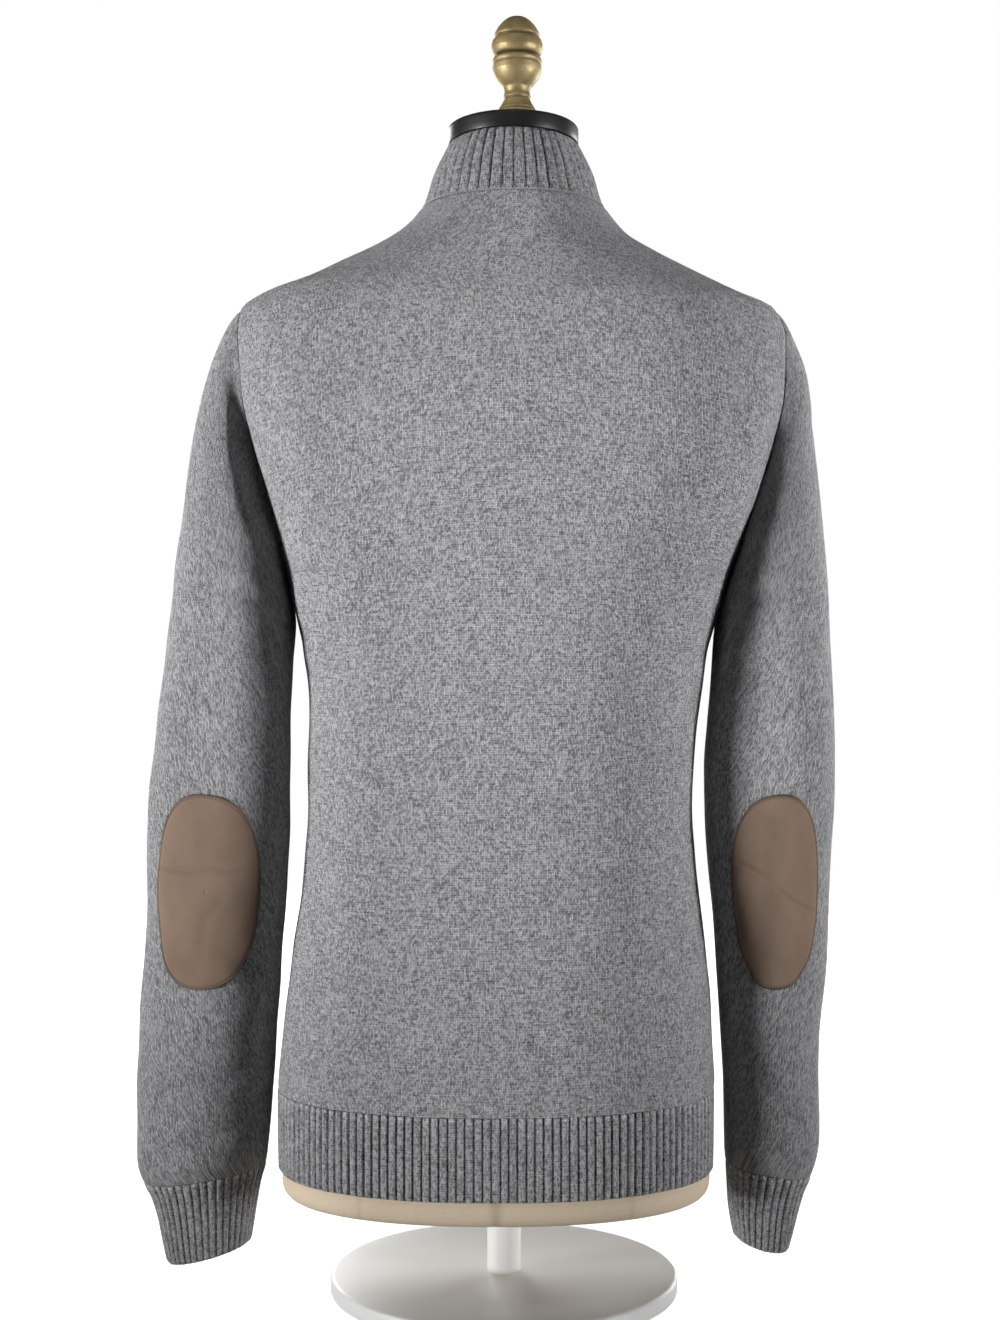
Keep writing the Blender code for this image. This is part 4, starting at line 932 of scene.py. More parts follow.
def collar_piece(ribs=46):
    shares = np.array([0, 0.008, 0.02, 0.045, 0.09, 0.15, 0.22, 0.3, 0.38, 0.46, 0.54, 0.62, 0.7, 0.78, 0.85, 0.91, 0.955, 0.98, 0.993, 1.0])
    place = rib_columns(ribs, 10)
    edge = np.array([float(turn_at_zip(collar, s, ZIP_HALF)) for s in shares])
    turns = edge[:, None] * (place[None] / ribs * 2 - 1)
    grid = np.repeat(shares[:, None], turns.shape[1], 1)
    base = collar_at(turns, grid)
    form, groove = rib_form(place, 0.085, 1.0)
    z = grid * COLLAR_HEIGHT
    own = 0.14 * np.sin(np.floor(place) * 2.7) + 0.1 * np.sin(np.floor(place) * 6.1 + 1)
    d = form[None] * np.ones_like(z) + own[None] + 0.35 * swell(base, 24.0, 3)
    d = d - 0.4 * np.exp(-(z / 1.3) ** 2) - 1.5 * np.exp(-((COLLAR_HEIGHT - z) / 1.4) ** 2)
    outer = collar_at(turns, grid, -d)
    inner = collar_at(turns, grid, np.full_like(d, RIB_WALL) - 0.9 * np.exp(-((COLLAR_HEIGHT - z) / 1.4) ** 2))
    u = np.repeat(((3 * place + 0.5) * 2.4)[None], len(shares), 0)
    return sheet_shell("collar_knit", outer, inner, u, z, COLLAR_RIB_SHADED,
                       attrs={"groove": np.repeat(groove[None], len(shares), 0), "loops": np.zeros_like(z)})


def sleeve_grid(tube, side, rows, places):
    """Turns for shares of each ring's own length, so that columns are even."""
    turn = np.linspace(0, 2 * math.pi, 361)
    a, b = np.meshgrid(turn, rows)
    p = tube(a, b)
    run = lengths(p, 1)
    return np.array([np.interp(places * r[-1], r, turn) for r in run])


def even_rows(tube, first, last, step, ends=(True, True)):
    """Row numbers spaced evenly down the sleeve's outer side, closer at its seams."""
    r = np.linspace(first, last, 1601)
    p = (tube(np.full_like(r, 0.0), r) + tube(np.full_like(r, math.pi), r)) / 2
    run = lengths(p, 0)
    d = spaced(run[-1], step)
    return np.interp(d, run, r), d, run[-1]


def sleeve(name, side, table, cuff, lines, seed):
    tube = sleeve_tube(table, side)
    rows, down, total = even_rows(tube, 0.0, cuff - 0.01, 3.3)
    cols = 92
    places = np.arange(cols) / cols
    turns = sleeve_grid(tube, side, rows, places)
    grid = np.repeat(rows[:, None], cols, 1)
    base = tube_at(tube, turns, grid, side)
    d = relief(base, lines, seed, side)
    quiet = ease(down / 14.0) * ease((total - down) / 6.0)
    d = d * quiet[:, None]
    d = d + seam_dip(down, 0.22)[:, None] + seam_dip(total - down, 0.3)[:, None]
    d = d + fold(base[..., 0] * side, base[..., 2], ((201, 700), (197, 665), (193, 630), (190, 600)), 4.5, -2.4, 0.2)
    # the sleeve blouses over its cuff
    d = d + (0.35 * np.exp(-((total - down - 9.0) / 6.0) ** 2))[:, None]
    # sleeve seam along the inner side
    closed = np.concatenate([base, base[:, :1]], 1)
    across = lengths(closed, 1)
    half = across[:, -1:] / 2
    seam = np.abs(across[:, :-1] - half)
    d = d - 0.7 * np.exp(-(seam / 1.9) ** 2)
    outer = tube_at(tube, turns, grid, side, -d)
    inner = tube_at(tube, turns, grid, side, -d + KNIT_WALL - 0.2)
    # its first row reaches just under the body's edge, so that no gap shows along the armhole
    for face in (outer, inner):
        ahead = face[0] - face[1]
        face[0] += ahead / np.linalg.norm(ahead, axis=-1, keepdims=True) * 0.5
    up = -lengths(base, 0)
    return sheet_shell(name, outer, inner, across, up, KNIT, wrap=True)


def cuff_piece(name, side, table, cuff, ribs, seed):
    tube = sleeve_tube(table, side)
    r = np.linspace(cuff + 0.01, 20.0, 401)
    p = (tube(np.full_like(r, 0.0), r) + tube(np.full_like(r, math.pi), r)) / 2
    run = lengths(p, 0)
    share = np.array([0, 0.01, 0.03, 0.06, 0.1, 0.17, 0.25, 0.34, 0.43, 0.52, 0.61, 0.7, 0.78, 0.86, 0.92, 0.96, 0.985, 1.0])
    rows = np.interp(share * run[-1], run, r)
    place = rib_columns(ribs, 10)[:-1]
    turns = sleeve_grid(tube, side, rows, place / ribs)
    grid = np.repeat(rows[:, None], len(place), 1)
    base = tube_at(tube, turns, grid, side)
    form, groove = rib_form(place, 0.11, 0.9)
    z = share[:, None] * run[-1] * np.ones_like(grid)
    own = 0.14 * np.sin(np.floor(place) * 2.3 + seed) + 0.1 * np.sin(np.floor(place) * 4.7 + seed)
    d = form[None] + own[None] + 0.3 * swell(base, 20.0, seed)
    d = d - 1.3 * np.exp(-((run[-1] - z) / 1.1) ** 2) - 0.35 * np.exp(-(z / 1.3) ** 2)
    outer = tube_at(tube, turns, grid, side, -d)
    inner = tube_at(tube, turns, grid, side, np.full_like(d, RIB_WALL) - 0.9 * np.exp(-((run[-1] - z) / 1.1) ** 2))
    full = np.concatenate([place, [ribs]])
    u = np.repeat(((3 * full + 0.5) * 2.4)[None], len(rows), 0)
    top = np.exp(-((z - 1.8) / 1.2) ** 2) * (1 - groove[None]) * 0.85
    return sheet_shell(name, outer, inner, u, -z, CUFF_RIB, wrap=True,
                       attrs={"groove": np.repeat(groove[None], len(rows), 0), "loops": top})


CLOTH = {}
CLOTH["back"] = panel("back_knit", "back", HEM_TOP + 0.2, 809.0, 3.3, BACK_FOLDS, 1)
CLOTH["front_left"] = panel("front_left_knit", "left", HEM_TOP + 0.2, 809.0, 3.3, FRONT_FOLDS, 2)
CLOTH["front_right"] = panel("front_right_knit", "right", HEM_TOP + 0.2, 809.0, 3.3, FRONT_FOLDS, 3)
CLOTH["hem_rib_back"] = hem("hem_back_rib", "back", 73, 1.0)
CLOTH["hem_rib_front_left"] = hem("hem_front_left_rib", "left", 38, 2.0)
CLOTH["hem_rib_front_right"] = hem("hem_front_right_rib", "right", 38, 3.0)
CLOTH["collar"] = collar_piece()
CLOTH["sleeve_left"] = sleeve("sleeve_left_knit", 1, SLEEVE_LEFT, LEFT_CUFF_ROW, SLEEVE_FOLDS_LEFT, 5)
CLOTH["sleeve_right"] = sleeve("sleeve_right_knit", -1, SLEEVE_RIGHT, RIGHT_CUFF_ROW, SLEEVE_FOLDS_RIGHT, 6)
CLOTH["cuff_left"] = cuff_piece("cuff_left_rib", 1, SLEEVE_LEFT, LEFT_CUFF_ROW, 40, 1.0)
CLOTH["cuff_right"] = cuff_piece("cuff_right_rib", -1, SLEEVE_RIGHT, RIGHT_CUFF_ROW, 33, 2.0)
for node, obj in CLOTH.items():
    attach(obj, "sweater")
    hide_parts(node)




# ------------------------------------------------------------------------------------------------
# small pieces: stitches, patches, zip, form and stand
# ------------------------------------------------------------------------------------------------
def keep(obj, nodes, rides="sweater"):
    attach(obj, rides)
    if nodes:
        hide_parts(*([nodes] if isinstance(nodes, str) else nodes))
    return obj


def unit(v):
    return v / np.maximum(np.linalg.norm(v, axis=-1, keepdims=True), 1e-9)


def strokes(name, middles, ways, outs, length, radius, material, bow=0.0, flat=0.75):
    """Short threads, each a closed tube that is thin at its ends and may bow outwards."""
    n, sides = len(middles), 6
    ways, outs = unit(ways), unit(outs)
    across = unit(np.cross(ways, outs))
    stations = np.array([-1.0, -0.86, -0.4, 0.4, 0.86, 1.0])
    thick = np.array([0.12, 0.72, 1.0, 1.0, 0.72, 0.12])
    a = np.arange(sides) * 2 * math.pi / sides
    length = np.broadcast_to(np.asarray(length, float), (n,))[:, None, None, None]
    s, t = stations[None, :, None, None], thick[None, :, None, None]
    c, w = np.cos(a)[None, None, :, None], np.sin(a)[None, None, :, None]
    p = (middles[:, None, None] + ways[:, None, None] * s * length / 2 + across[:, None, None] * c * t * radius
         + outs[:, None, None] * (w * t * radius * flat + bow * (1 - s ** 2)))
    k = len(stations)
    i, j = np.meshgrid(np.arange(k - 1), np.arange(sides), indexing="ij")
    j2 = (j + 1) % sides
    q = np.stack([i * sides + j, i * sides + j2, (i + 1) * sides + j2, (i + 1) * sides + j], -1).reshape(-1, 4)
    ends = np.array([[0, 5, 4, 1], [1, 4, 3, 2]])
    q = np.concatenate([q, ends, (k - 1) * sides + ends[:, ::-1]])
    quads = (q[None] + (np.arange(n) * k * sides)[:, None, None]).reshape(-1, 4)
    obj = mesh_from(name, p.reshape(-1, 3), quads, None, material)
    return obj


def arc_places(points, pitch, start=0.0):
    """Places every pitch along a line of points: (points, directions)."""
    run = lengths(points, 0)
    d = np.arange(start + pitch / 2, run[-1] - start - pitch / 2, pitch)
    at = np.stack([np.interp(d, run, points[:, k]) for k in range(3)], -1)
    ahead = np.stack([np.interp(d + 0.4, run, points[:, k]) for k in range(3)], -1)
    back = np.stack([np.interp(d - 0.4, run, points[:, k]) for k in range(3)], -1)
    return at, unit(ahead - back), d


# linking stitches round the neck seam
edge = float(turn_at_zip(collar, 0.0, ZIP_HALF))
t = np.linspace(-edge + 0.03, edge - 0.03, 900)
seam_line = collar_at(t, np.full_like(t, 0.012), np.full_like(t, 0.1))
at, way, d = arc_places(seam_line, 2.9)
tt = np.interp(d, lengths(seam_line, 0), t)
out = unit(-normal(collar, tt, np.full_like(tt, 0.02), db=0.03, low=0.0, high=1.0))
up = unit(np.cross(out, way))
up = up * np.sign(up[:, 2:3])
jitter = 0.25 * np.sin(np.arange(len(d)) * 2.3)[:, None] + 0.15 * np.sin(np.arange(len(d)) * 5.1)[:, None]
one = strokes("neck_linking_a", at - way * 0.62 + out * 0.35 + up * 0.1, way * (0.55 + 0.2 * jitter) + up, out, 2.9, 0.50, LINK, 0.25)
two = strokes("neck_linking_b", at + way * 0.72 + out * 0.30 - up * 0.15, -way * (0.60 - 0.2 * jitter) + up, out, 2.7, 0.46, LINK, 0.25)
for o in (one, two):
    keep(o, None)


def patch(word, side, table, lines, seed, creases):
    tube = sleeve_tube(table, side)
    shares = np.concatenate([[0.0006], np.linspace(0.04, 0.88, 24), [0.905, 0.925, 0.94, 0.95, 0.958, 0.966, 0.974, 0.982, 0.99, 0.996, 1.0]])
    count = 200
    around = np.linspace(0, 2 * math.pi, count, endpoint=False)
    c, s = np.cos(around), np.sin(around)
    oval = (np.abs(c) ** 2.3 + np.abs(s) ** 2.3) ** (-1 / 2.3)
    across, along = 38.0 * oval * c, PATCH_HALF_LENGTH * oval * s
    a, b = shares[:, None] * across[None], shares[:, None] * along[None]
    turns, rows = PATCH_TURN[side] + PATCH_HALF_TURN[side] * a / 38.0, row_at(table, PATCH_HEIGHT - b)
    base = tube_at(tube, turns, rows, side)
    d = relief(base, lines, seed, side)
    reach = np.hypot(across, along)[None]
    e = (1 - shares)[:, None] * reach
    # painted shade: besides denting the patch, each crease line is kept as a mask that darkens the suede along it
    crease_shade = np.zeros_like(d)
    for line, width, depth in creases:
        far, share, _ = along_line(base[..., 0] * side, base[..., 2], line)
        mark = np.exp(-(far / width) ** 2) * ease(share / 0.12) * ease((1 - share) / 0.12)
        crease_shade = np.maximum(crease_shade, mark * min(1.0, abs(depth) / 0.6))
        d = d + depth * mark + 0.25 * np.exp(-((far - 2.2 * width) / (1.2 * width)) ** 2) * np.sign(-depth)
    lift = 1.45 - 0.5 * np.exp(-((e - 2.1) / 0.8) ** 2) - 0.75 * np.exp(-(e / 0.45) ** 2) + 0.22 * swell(base, 11.0, seed + 2)
    top = tube_at(tube, turns, rows, side, -(d + lift))
    low = tube_at(tube, turns, rows, side, -(d + 0.15))
    # edge mask: the darker cut edge of the suede, and painted shade in the groove where the stitches sink in
    cut_edge_and_groove_shade = np.clip(np.exp(-(e / 0.75) ** 2) + 0.45 * np.exp(-((e - 2.0) / 0.5) ** 2), 0, 1)
    full = np.concatenate([a, a[:, :1]], 1)
    obj = sheet_shell("elbow_patch_%s_suede" % word, top, low, full, b, SUEDE, wrap=True,
                      attrs={"edge": cut_edge_and_groove_shade, "crease_shade": crease_shade})
    # overcast stitches across the rim
    k = np.linspace(0, 2 * math.pi, 1600)
    c, s = np.cos(k), np.sin(k)
    oval = (np.abs(c) ** 2.3 + np.abs(s) ** 2.3) ** (-1 / 2.3)
    lines_ = []
    for share in (0.978, 1.008):
        tt = PATCH_TURN[side] + share * PATCH_HALF_TURN[side] * oval * c
        rr = row_at(table, PATCH_HEIGHT - share * PATCH_HALF_LENGTH * oval * s)
        bb = tube_at(tube, tt, rr, side)
        dd = relief(bb, lines, seed, side)
        lines_.append(tube_at(tube, tt, rr, side, -(dd + (1.15 if share < 1 else 0.35))))
    run = lengths(lines_[0], 0)
    dist = np.arange(0, run[-1], 1.9)
    ins, outp = (np.stack([np.interp(dist, run, l[:, q]) for q in range(3)], -1) for l in lines_)
    mid = (ins + outp) / 2
    n = unit(np.cross(np.gradient(mid, axis=0), outp - ins))
    n = n * np.sign(np.sum(n * (mid - np.array([side * 215.0, 0.0, 0.0])) * np.array([1, 1, 0.0]), -1, keepdims=True))
    st = strokes("elbow_patch_%s_stitches" % word, mid + n * 0.12, outp - ins, n, np.linalg.norm(outp - ins, axis=1) + 0.5, 0.24, SUEDE_THREAD, 0.1)
    keep(obj, "elbow_patch_" + word)
    keep(st, None)
    return obj, st


PATCH_LEFT = patch("left", 1, SLEEVE_LEFT, SLEEVE_FOLDS_LEFT, 5, (
    (((186, 318), (200, 316), (214, 319), (232, 315), (250, 318), (262, 316)), 1.6, -0.4),
    (((206, 298), (218, 284), (222, 260)), 3.0, -0.25)))
PATCH_RIGHT = patch("right", -1, SLEEVE_RIGHT, SLEEVE_FOLDS_RIGHT, 6, (
    (((170, 325), (188, 315), (206, 300), (220, 290), (233, 285)), 1.5, -0.45),
    (((196, 368), (194, 330), (196, 280), (194, 244)), 6.0, 0.45)))


# ---- zip ----
def front_points(offsets, alongs, inwards):
    """Points on the garment's front: a row for each place up the zip, a column for each distance from it."""
    o, a = np.meshgrid(offsets, alongs)
    w = np.broadcast_to(inwards, o.shape)
    low = a <= 1
    out = np.zeros(o.shape + (3,))
    level = HEM_BOTTOM + (809.0 - HEM_BOTTOM) * a[low]
    out[low] = body_at(turn_at_zip(body, level, o[low]), level, w[low])
    share = np.minimum(a[~low] - 1, 1.0)
    out[~low] = collar_at(turn_at_zip(collar, share, o[~low]), share, w[~low])
    return out


zip_alongs = np.concatenate([np.linspace(0.004, 1.0, 190), np.linspace(1.03, 1.97, 22)])
centre = front_points(np.array([0.01, -0.01]), zip_alongs, 0.0)
centre = np.stack([centre[:, 0, 0] - 0.01, centre[:, :, 1].mean(1), centre[:, :, 2].mean(1)], 1)
zip_run = lengths(centre, 0)
zip_up = unit(np.gradient(centre, axis=0) * np.array([0.0, 1.0, 1.0]))
zip_out = np.cross(np.array([1.0, 0.0, 0.0]), zip_up)


def on_zip(d):
    """(point, up, out) at distances along the zip."""
    p = np.stack([np.interp(d, zip_run, centre[:, k]) for k in range(3)], -1)
    u = unit(np.stack([np.interp(d, zip_run, zip_up[:, k]) for k in range(3)], -1))
    return p, u, np.cross(np.array([1.0, 0.0, 0.0]), u)


for word, sign in (("left", 1), ("right", -1)):
    offs = sign * np.array([0.16, 0.9, 1.8, 2.6, 3.0, 3.6, 4.6, 6.0, 8.0, 10.0, 12.0, 14.0])
    ridge = np.array([0.0, 0.0, 0.25, 0.6, 0.6, 0.1, 0, 0, 0, 0, 0, 0])     # the cord along the teeth
    outer = front_points(offs, zip_alongs, 3.3 - ridge)
    inner = front_points(offs, zip_alongs, 4.1)
    u = np.repeat(offs[None], len(zip_alongs), 0)
    v = np.repeat(zip_run[:, None], len(offs), 1)
    tape = sheet_shell("zip_tape_%s_weave" % word, outer, inner, u, v, TAPE)
    keep(tape, "zip_tape_" + word)

# teeth: closed below the slider, a little parted above it
TOOTH = np.array([  # (across from the middle, up, in from the face) of one tooth on the left side, as a chamfered block
    (-0.9, -0.34, 1.35), (-0.9, 0.34, 1.35), (0.2, 0.55, 1.0), (2.2, 0.5, 1.0), (2.2, -0.5, 1.0), (0.2, -0.55, 1.0),
    (-0.9, -0.34, 2.65), (-0.9, 0.34, 2.65), (0.2, 0.55, 3.0), (2.2, 0.5, 3.0), (2.2, -0.5, 3.0), (0.2, -0.55, 3.0)])
TOOTH_QUADS = np.array([(0, 1, 2, 5), (5, 2, 3, 4), (6, 11, 8, 7), (11, 10, 9, 8),
                        (0, 6, 7, 1), (1, 7, 8, 2), (2, 8, 9, 3), (3, 9, 10, 4), (4, 10, 11, 5), (5, 11, 6, 0)])
slider_run = float(np.interp(1.74, zip_alongs, zip_run))
tooth_pts, tooth_quads = [], []
for sign in (1, -1):
    ds = np.arange(14.0 + (0.0 if sign > 0 else 1.0), zip_run[-1] - 2.5, 2.0)
    p, u, o = on_zip(ds)
    part = np.where(ds > slider_run + 3.5, np.minimum(1.5, 0.5 + (ds - slider_run - 3.5) * 0.12), 0.0)
    for k in range(len(ds)):
        local = TOOTH * np.array([sign, 1, 1]) + np.array([sign * part[k], 0, 0])
        w = p[k] + local[:, :1] * np.array([1.0, 0, 0]) + local[:, 1:2] * u[k] - local[:, 2:3] * o[k]
        q = TOOTH_QUADS if sign > 0 else TOOTH_QUADS[:, ::-1]
        tooth_quads.append(q + 12 * len(tooth_pts))
        tooth_pts.append(w)
teeth = mesh_from("zip_teeth", np.concatenate(tooth_pts), np.concatenate(tooth_quads), None, TEETH, smooth=False)
bevel = teeth.modifiers.new("round", "BEVEL")
bevel.width, bevel.segments, bevel.limit_method = 0.00012, 1, "NONE"
keep(teeth, "zip_chain")


def block(name, outline, low, high, place, bevel_width=0.0003, rides="sweater", node=None, holes=(), material=None):
    """A thick plate from an outline (across, up) between two heights (out), at a place on the zip's face."""
    p0, up_, out_ = place
    bm = bmesh.new()

    def world(x, y, z):
        w = p0 + x * np.array([1.0, 0, 0]) + y * up_ + z * out_
        return tuple(w * MM)

    lo = [bm.verts.new(world(x, y, low)) for x, y in outline]
    hi = [bm.verts.new(world(x, y, high)) for x, y in outline]
    n = len(outline)
    if not holes:
        bm.faces.new(list(reversed(lo)))
        bm.faces.new(hi)
    else:
        hlo = [bm.verts.new(world(x, y, low)) for x, y in holes]
        hhi = [bm.verts.new(world(x, y, high)) for x, y in holes]
        for i in range(n):
            k = (i + 1) % n
            bm.faces.new((hi[i], hi[k], hhi[k], hhi[i]))
            bm.faces.new((lo[k], lo[i], hlo[i], hlo[k]))
            bm.faces.new((hlo[i], hhi[i], hhi[k], hlo[k]))
    for i in range(n):
        k = (i + 1) % n
        bm.faces.new((lo[i], lo[k], hi[k], hi[i]))
    bmesh.ops.recalc_face_normals(bm, faces=bm.faces)
    mesh = bpy.data.meshes.new(name)
    bm.to_mesh(mesh)
    bm.free()
    mesh.materials.append(material or TEETH)
    obj = bpy.data.objects.new(name, mesh)
    bpy.context.scene.collection.objects.link(obj)
    mod = obj.modifiers.new("round", "BEVEL")
    mod.width, mod.segments, mod.limit_method, mod.angle_limit = bevel_width, 3, "ANGLE", math.radians(25)
    for poly in mesh.polygons:
        poly.use_smooth = True
    mesh.set_sharp_from_angle(angle=math.radians(40))
    return keep(obj, node, rides)


def rounded(points, radius, steps=5):
    """An outline with its corners rounded."""
    pts, n, res = np.array(points, float), len(points), []
    for i in range(n):
        p, a, b = pts[i], pts[i - 1], pts[(i + 1) % n]
        ua, ub = unit(a - p), unit(b - p)
        r = min(radius, 0.45 * np.linalg.norm(a - p), 0.45 * np.linalg.norm(b - p))
        for t in np.linspace(0, 1, steps):
            res.append(tuple((1 - t) ** 2 * (p + ua * r) + 2 * t * (1 - t) * p + t ** 2 * (p + ub * r)))
    return res


p0, p1 = front_points(np.array([0.01]), np.array([1.64, 1.84]), 0.0)[:, 0]
S_AT = (p0 + p1) / 2
S_UP = unit((p1 - p0) * np.array([0.0, 1.0, 1.0]))
S_OUT = np.cross(np.array([1.0, 0.0, 0.0]), S_UP)
S = (S_AT, S_UP, S_OUT)
plate = rounded([(-3.0, -5.4), (3.0, -5.4), (4.3, -2.4), (4.3, 3.2), (2.6, 5.4), (-2.6, 5.4), (-4.3, 3.2), (-4.3, -2.4)], 1.2)
block("zip_slider_plate", plate, -0.4, 1.0, S, 0.0004, node="zip_slider")
# the arch, drawn in the plane across the zip's line
arch_outline = rounded([(-3.4, 0.7), (-1.9, 0.7), (-1.5, 2.8), (-0.9, 3.4), (0.9, 3.4), (1.5, 2.8), (1.9, 0.7), (3.4, 0.7),
                        (2.9, 3.4), (1.9, 4.3), (-1.9, 4.3), (-2.9, 3.4)], 0.5, 4)
arch_pts = [(x, y) for x, y in arch_outline]


def arch_block():
    bm = bmesh.new()
    sides = []
    for x in (-1.2, 1.2):
        sides.append([bm.verts.new(tuple((S_AT + x * np.array([1.0, 0, 0]) + a * S_UP + b * S_OUT) * MM)) for a, b in arch_pts])
    bm.faces.new(sides[0])
    bm.faces.new(list(reversed(sides[1])))
    n = len(arch_pts)
    for i in range(n):
        k = (i + 1) % n
        bm.faces.new((sides[0][i], sides[1][i], sides[1][k], sides[0][k]))
    bmesh.ops.recalc_face_normals(bm, faces=bm.faces)
    bmesh.ops.triangulate(bm, faces=[f for f in bm.faces if len(f.verts) > 4])
    mesh = bpy.data.meshes.new("zip_slider_bridge")
    bm.to_mesh(mesh)
    bm.free()
    mesh.materials.append(TEETH)
    obj = bpy.data.objects.new("zip_slider_bridge", mesh)
    bpy.context.scene.collection.objects.link(obj)
    return keep(obj, None)


arch_block()
HINGE = (S_AT + 2.2 * S_OUT, S_UP, S_OUT)
tab = [(-2.6, 0.7), (2.6, 0.7), (2.9, 0.2), (2.9, -10.0), (2.9, -20.0), (2.2, -23.5), (-2.2, -23.5), (-2.9, -20.0), (-2.9, -10.0), (-2.9, 0.2)]
inner_hole = [(-1.4, -0.65), (1.4, -0.65), (1.6, -0.9), (1.6, -3.6), (1.6, -5.6), (1.1, -6.4), (-1.1, -6.4), (-1.6, -5.6), (-1.6, -3.6), (-1.6, -0.9)]
block("zip_pull_tab", tab, -0.65, 0.65, HINGE, 0.0003, "pull_tab", "zip_pull", inner_hole)
B = tuple(x[0] for x in on_zip(np.array([7.0])))
block("zip_bottom_box", rounded([(-3.2, -3.9), (3.2, -3.9), (3.2, 3.9), (-3.2, 3.9)], 0.9), -3.0, -0.4, B, 0.0004, node="zip_box")
for sign in (1, -1):
    q = tuple(x[0] for x in on_zip(np.array([zip_run[-1] - 1.2])))
    q = (q[0] + np.array([sign * 2.7, 0, 0]), q[1], q[2])
    block("zip_top_stop_" + ("left" if sign > 0 else "right"), rounded([(-1.2, -1.1), (1.2, -1.1), (1.2, 1.1), (-1.2, 1.1)], 0.5), -3.0, -0.8, q, 0.0003)


# ---- dress form, cap, finial and stand ----
def stacked(name, rings, material, attrs=None, node=None, uv=None, cap_ends=True):
    """A closed solid through stacked rings, with fans at both ends."""
    rings = np.asarray(rings, float)
    k, count = rings.shape[:2]
    i, j = np.meshgrid(np.arange(k - 1), np.arange(count), indexing="ij")
    j2 = (j + 1) % count
    quads = np.stack([i * count + j, i * count + j2, (i + 1) * count + j2, (i + 1) * count + j], -1).reshape(-1, 4)
    if uv is None:
        run = lengths(np.concatenate([rings, rings[:, :1]], 1), 1)
        up_ = np.concatenate([lengths(rings, 0), lengths(rings, 0)[:, :1]], 1)
    else:
        run, up_ = uv
    cu = np.stack([np.stack([run[i, j], up_[i, j]], -1), np.stack([run[i, j + 1], up_[i, j + 1]], -1),
                   np.stack([run[i + 1, j + 1], up_[i + 1, j + 1]], -1), np.stack([run[i + 1, j], up_[i + 1, j]], -1)], -2).reshape(-1, 4, 2)
    pts = np.concatenate([rings.reshape(-1, 3), [rings[0].mean(0)], [rings[-1].mean(0)]])
    jj = np.arange(count)
    kk = (jj + 1) % count
    low = np.stack([np.full(count, k * count), kk, jj], -1)
    high = np.stack([np.full(count, k * count + 1), (k - 1) * count + jj, (k - 1) * count + kk], -1)
    at = {key: np.concatenate([v.ravel(), [v[0].mean(), v[-1].mean()]]) for key, v in (attrs or {}).items()}
    obj = mesh_from(name, pts, quads, cu, material, at, tris=np.concatenate([low, high]))
    return keep(obj, node)


count = 240
turn = np.linspace(0, 2 * math.pi, count, endpoint=False)
inwards = FORM_CLEAR + (FORM_CLEAR_FRONT - FORM_CLEAR) * ease((-np.cos(turn) - 0.6) / 0.4)
table = np.array([(73.0, 10.5), (73.15, 8.0), (73.6, 5.0), (74.4, 2.6), (75.6, 0.7), (77.2, -0.7), (79.2, -1.7), (82.0, -2.3), (85.0, -2.45), (88.0, -2.2), (90.4, -1.4),
                  (91.8, -0.5), (93.5, 0.0), (97.0, 0.0),
                  (120.0, 0.0), (151.5, 0.2), (175, .4), (200, 0.6), (230, .7), (260, 0.8), (290, .8), (320, 0.8), (350, .8), (380, 0.8), (410, .8), (440, 0.8),
                  (470, .8), (500, 0.8), (522, 0.8), (545, 0.8), (568, 1.1), (590, 1.5), (612, 2.5), (635, 3.5), (655, 4.2), (675, 5.0), (690, 5.2), (705, 5.5),
                  (716, 6.0), (726, 6.5), (733, 6.0), (740, 5.5), (748, 4.2), (755, 3.0), (763, 2.2), (771, 1.5), (779, 1.2), (787, 1.0), (793, .9), (799, 0.8), (808, 0.6)])
rings, seams = [], []
for level, extra in table:
    p = body_at(turn, np.full_like(turn, level), inwards + extra, plain_body)
    if level < 100:
        p[:, 2] = level
    flat = 163.0 + 60.0 * float(1 - ease((level - 520.0) / 40.0) * ease((745.0 - level) / 15.0))
    p[:, 0] = np.clip(p[:, 0], -5.0 - flat, -5.0 + flat)
    rings.append(p)
for share, extra in ((0.15, 0.8), (0.3, 0.8), (0.45, 1.0), (0.6, 1.2), (0.7, 1.7), (0.8, 2.2)):
    rings.append(collar_at(turn, np.full_like(turn, share), inwards + extra))
rings.append(ring(turn, 856.6, 856.6, NECK_X, 41.6, 41.6, 54.8, 53.6, 2.0))
rings.append(ring(turn, NECK_TOP, NECK_TOP, NECK_X, 41.0, 41.0, 54.2, 53.0, 2.0))
rings = np.array(rings)
# seams of the form's cover: centre back, two beside it, the sides and the front
seam_mark = np.zeros(rings.shape[:2])
for t0 in (0.0, math.radians(34), math.radians(-34), math.radians(90), math.radians(-90), math.radians(146), math.radians(-146), math.pi):
    away = np.abs((turn - t0 + math.pi) % (2 * math.pi) - math.pi)[None] * np.hypot(rings[..., 0], rings[..., 1])
    seam_mark = np.maximum(seam_mark, np.exp(-(away / 1.3) ** 2))
inward_way = unit(rings * np.array([1.0, 1.0, 0.0]))
rings = rings - inward_way * (0.7 * seam_mark)[..., None]
FORM = stacked("form_linen_skin", rings, LINEN, {"seam": seam_mark}, "form_torso")

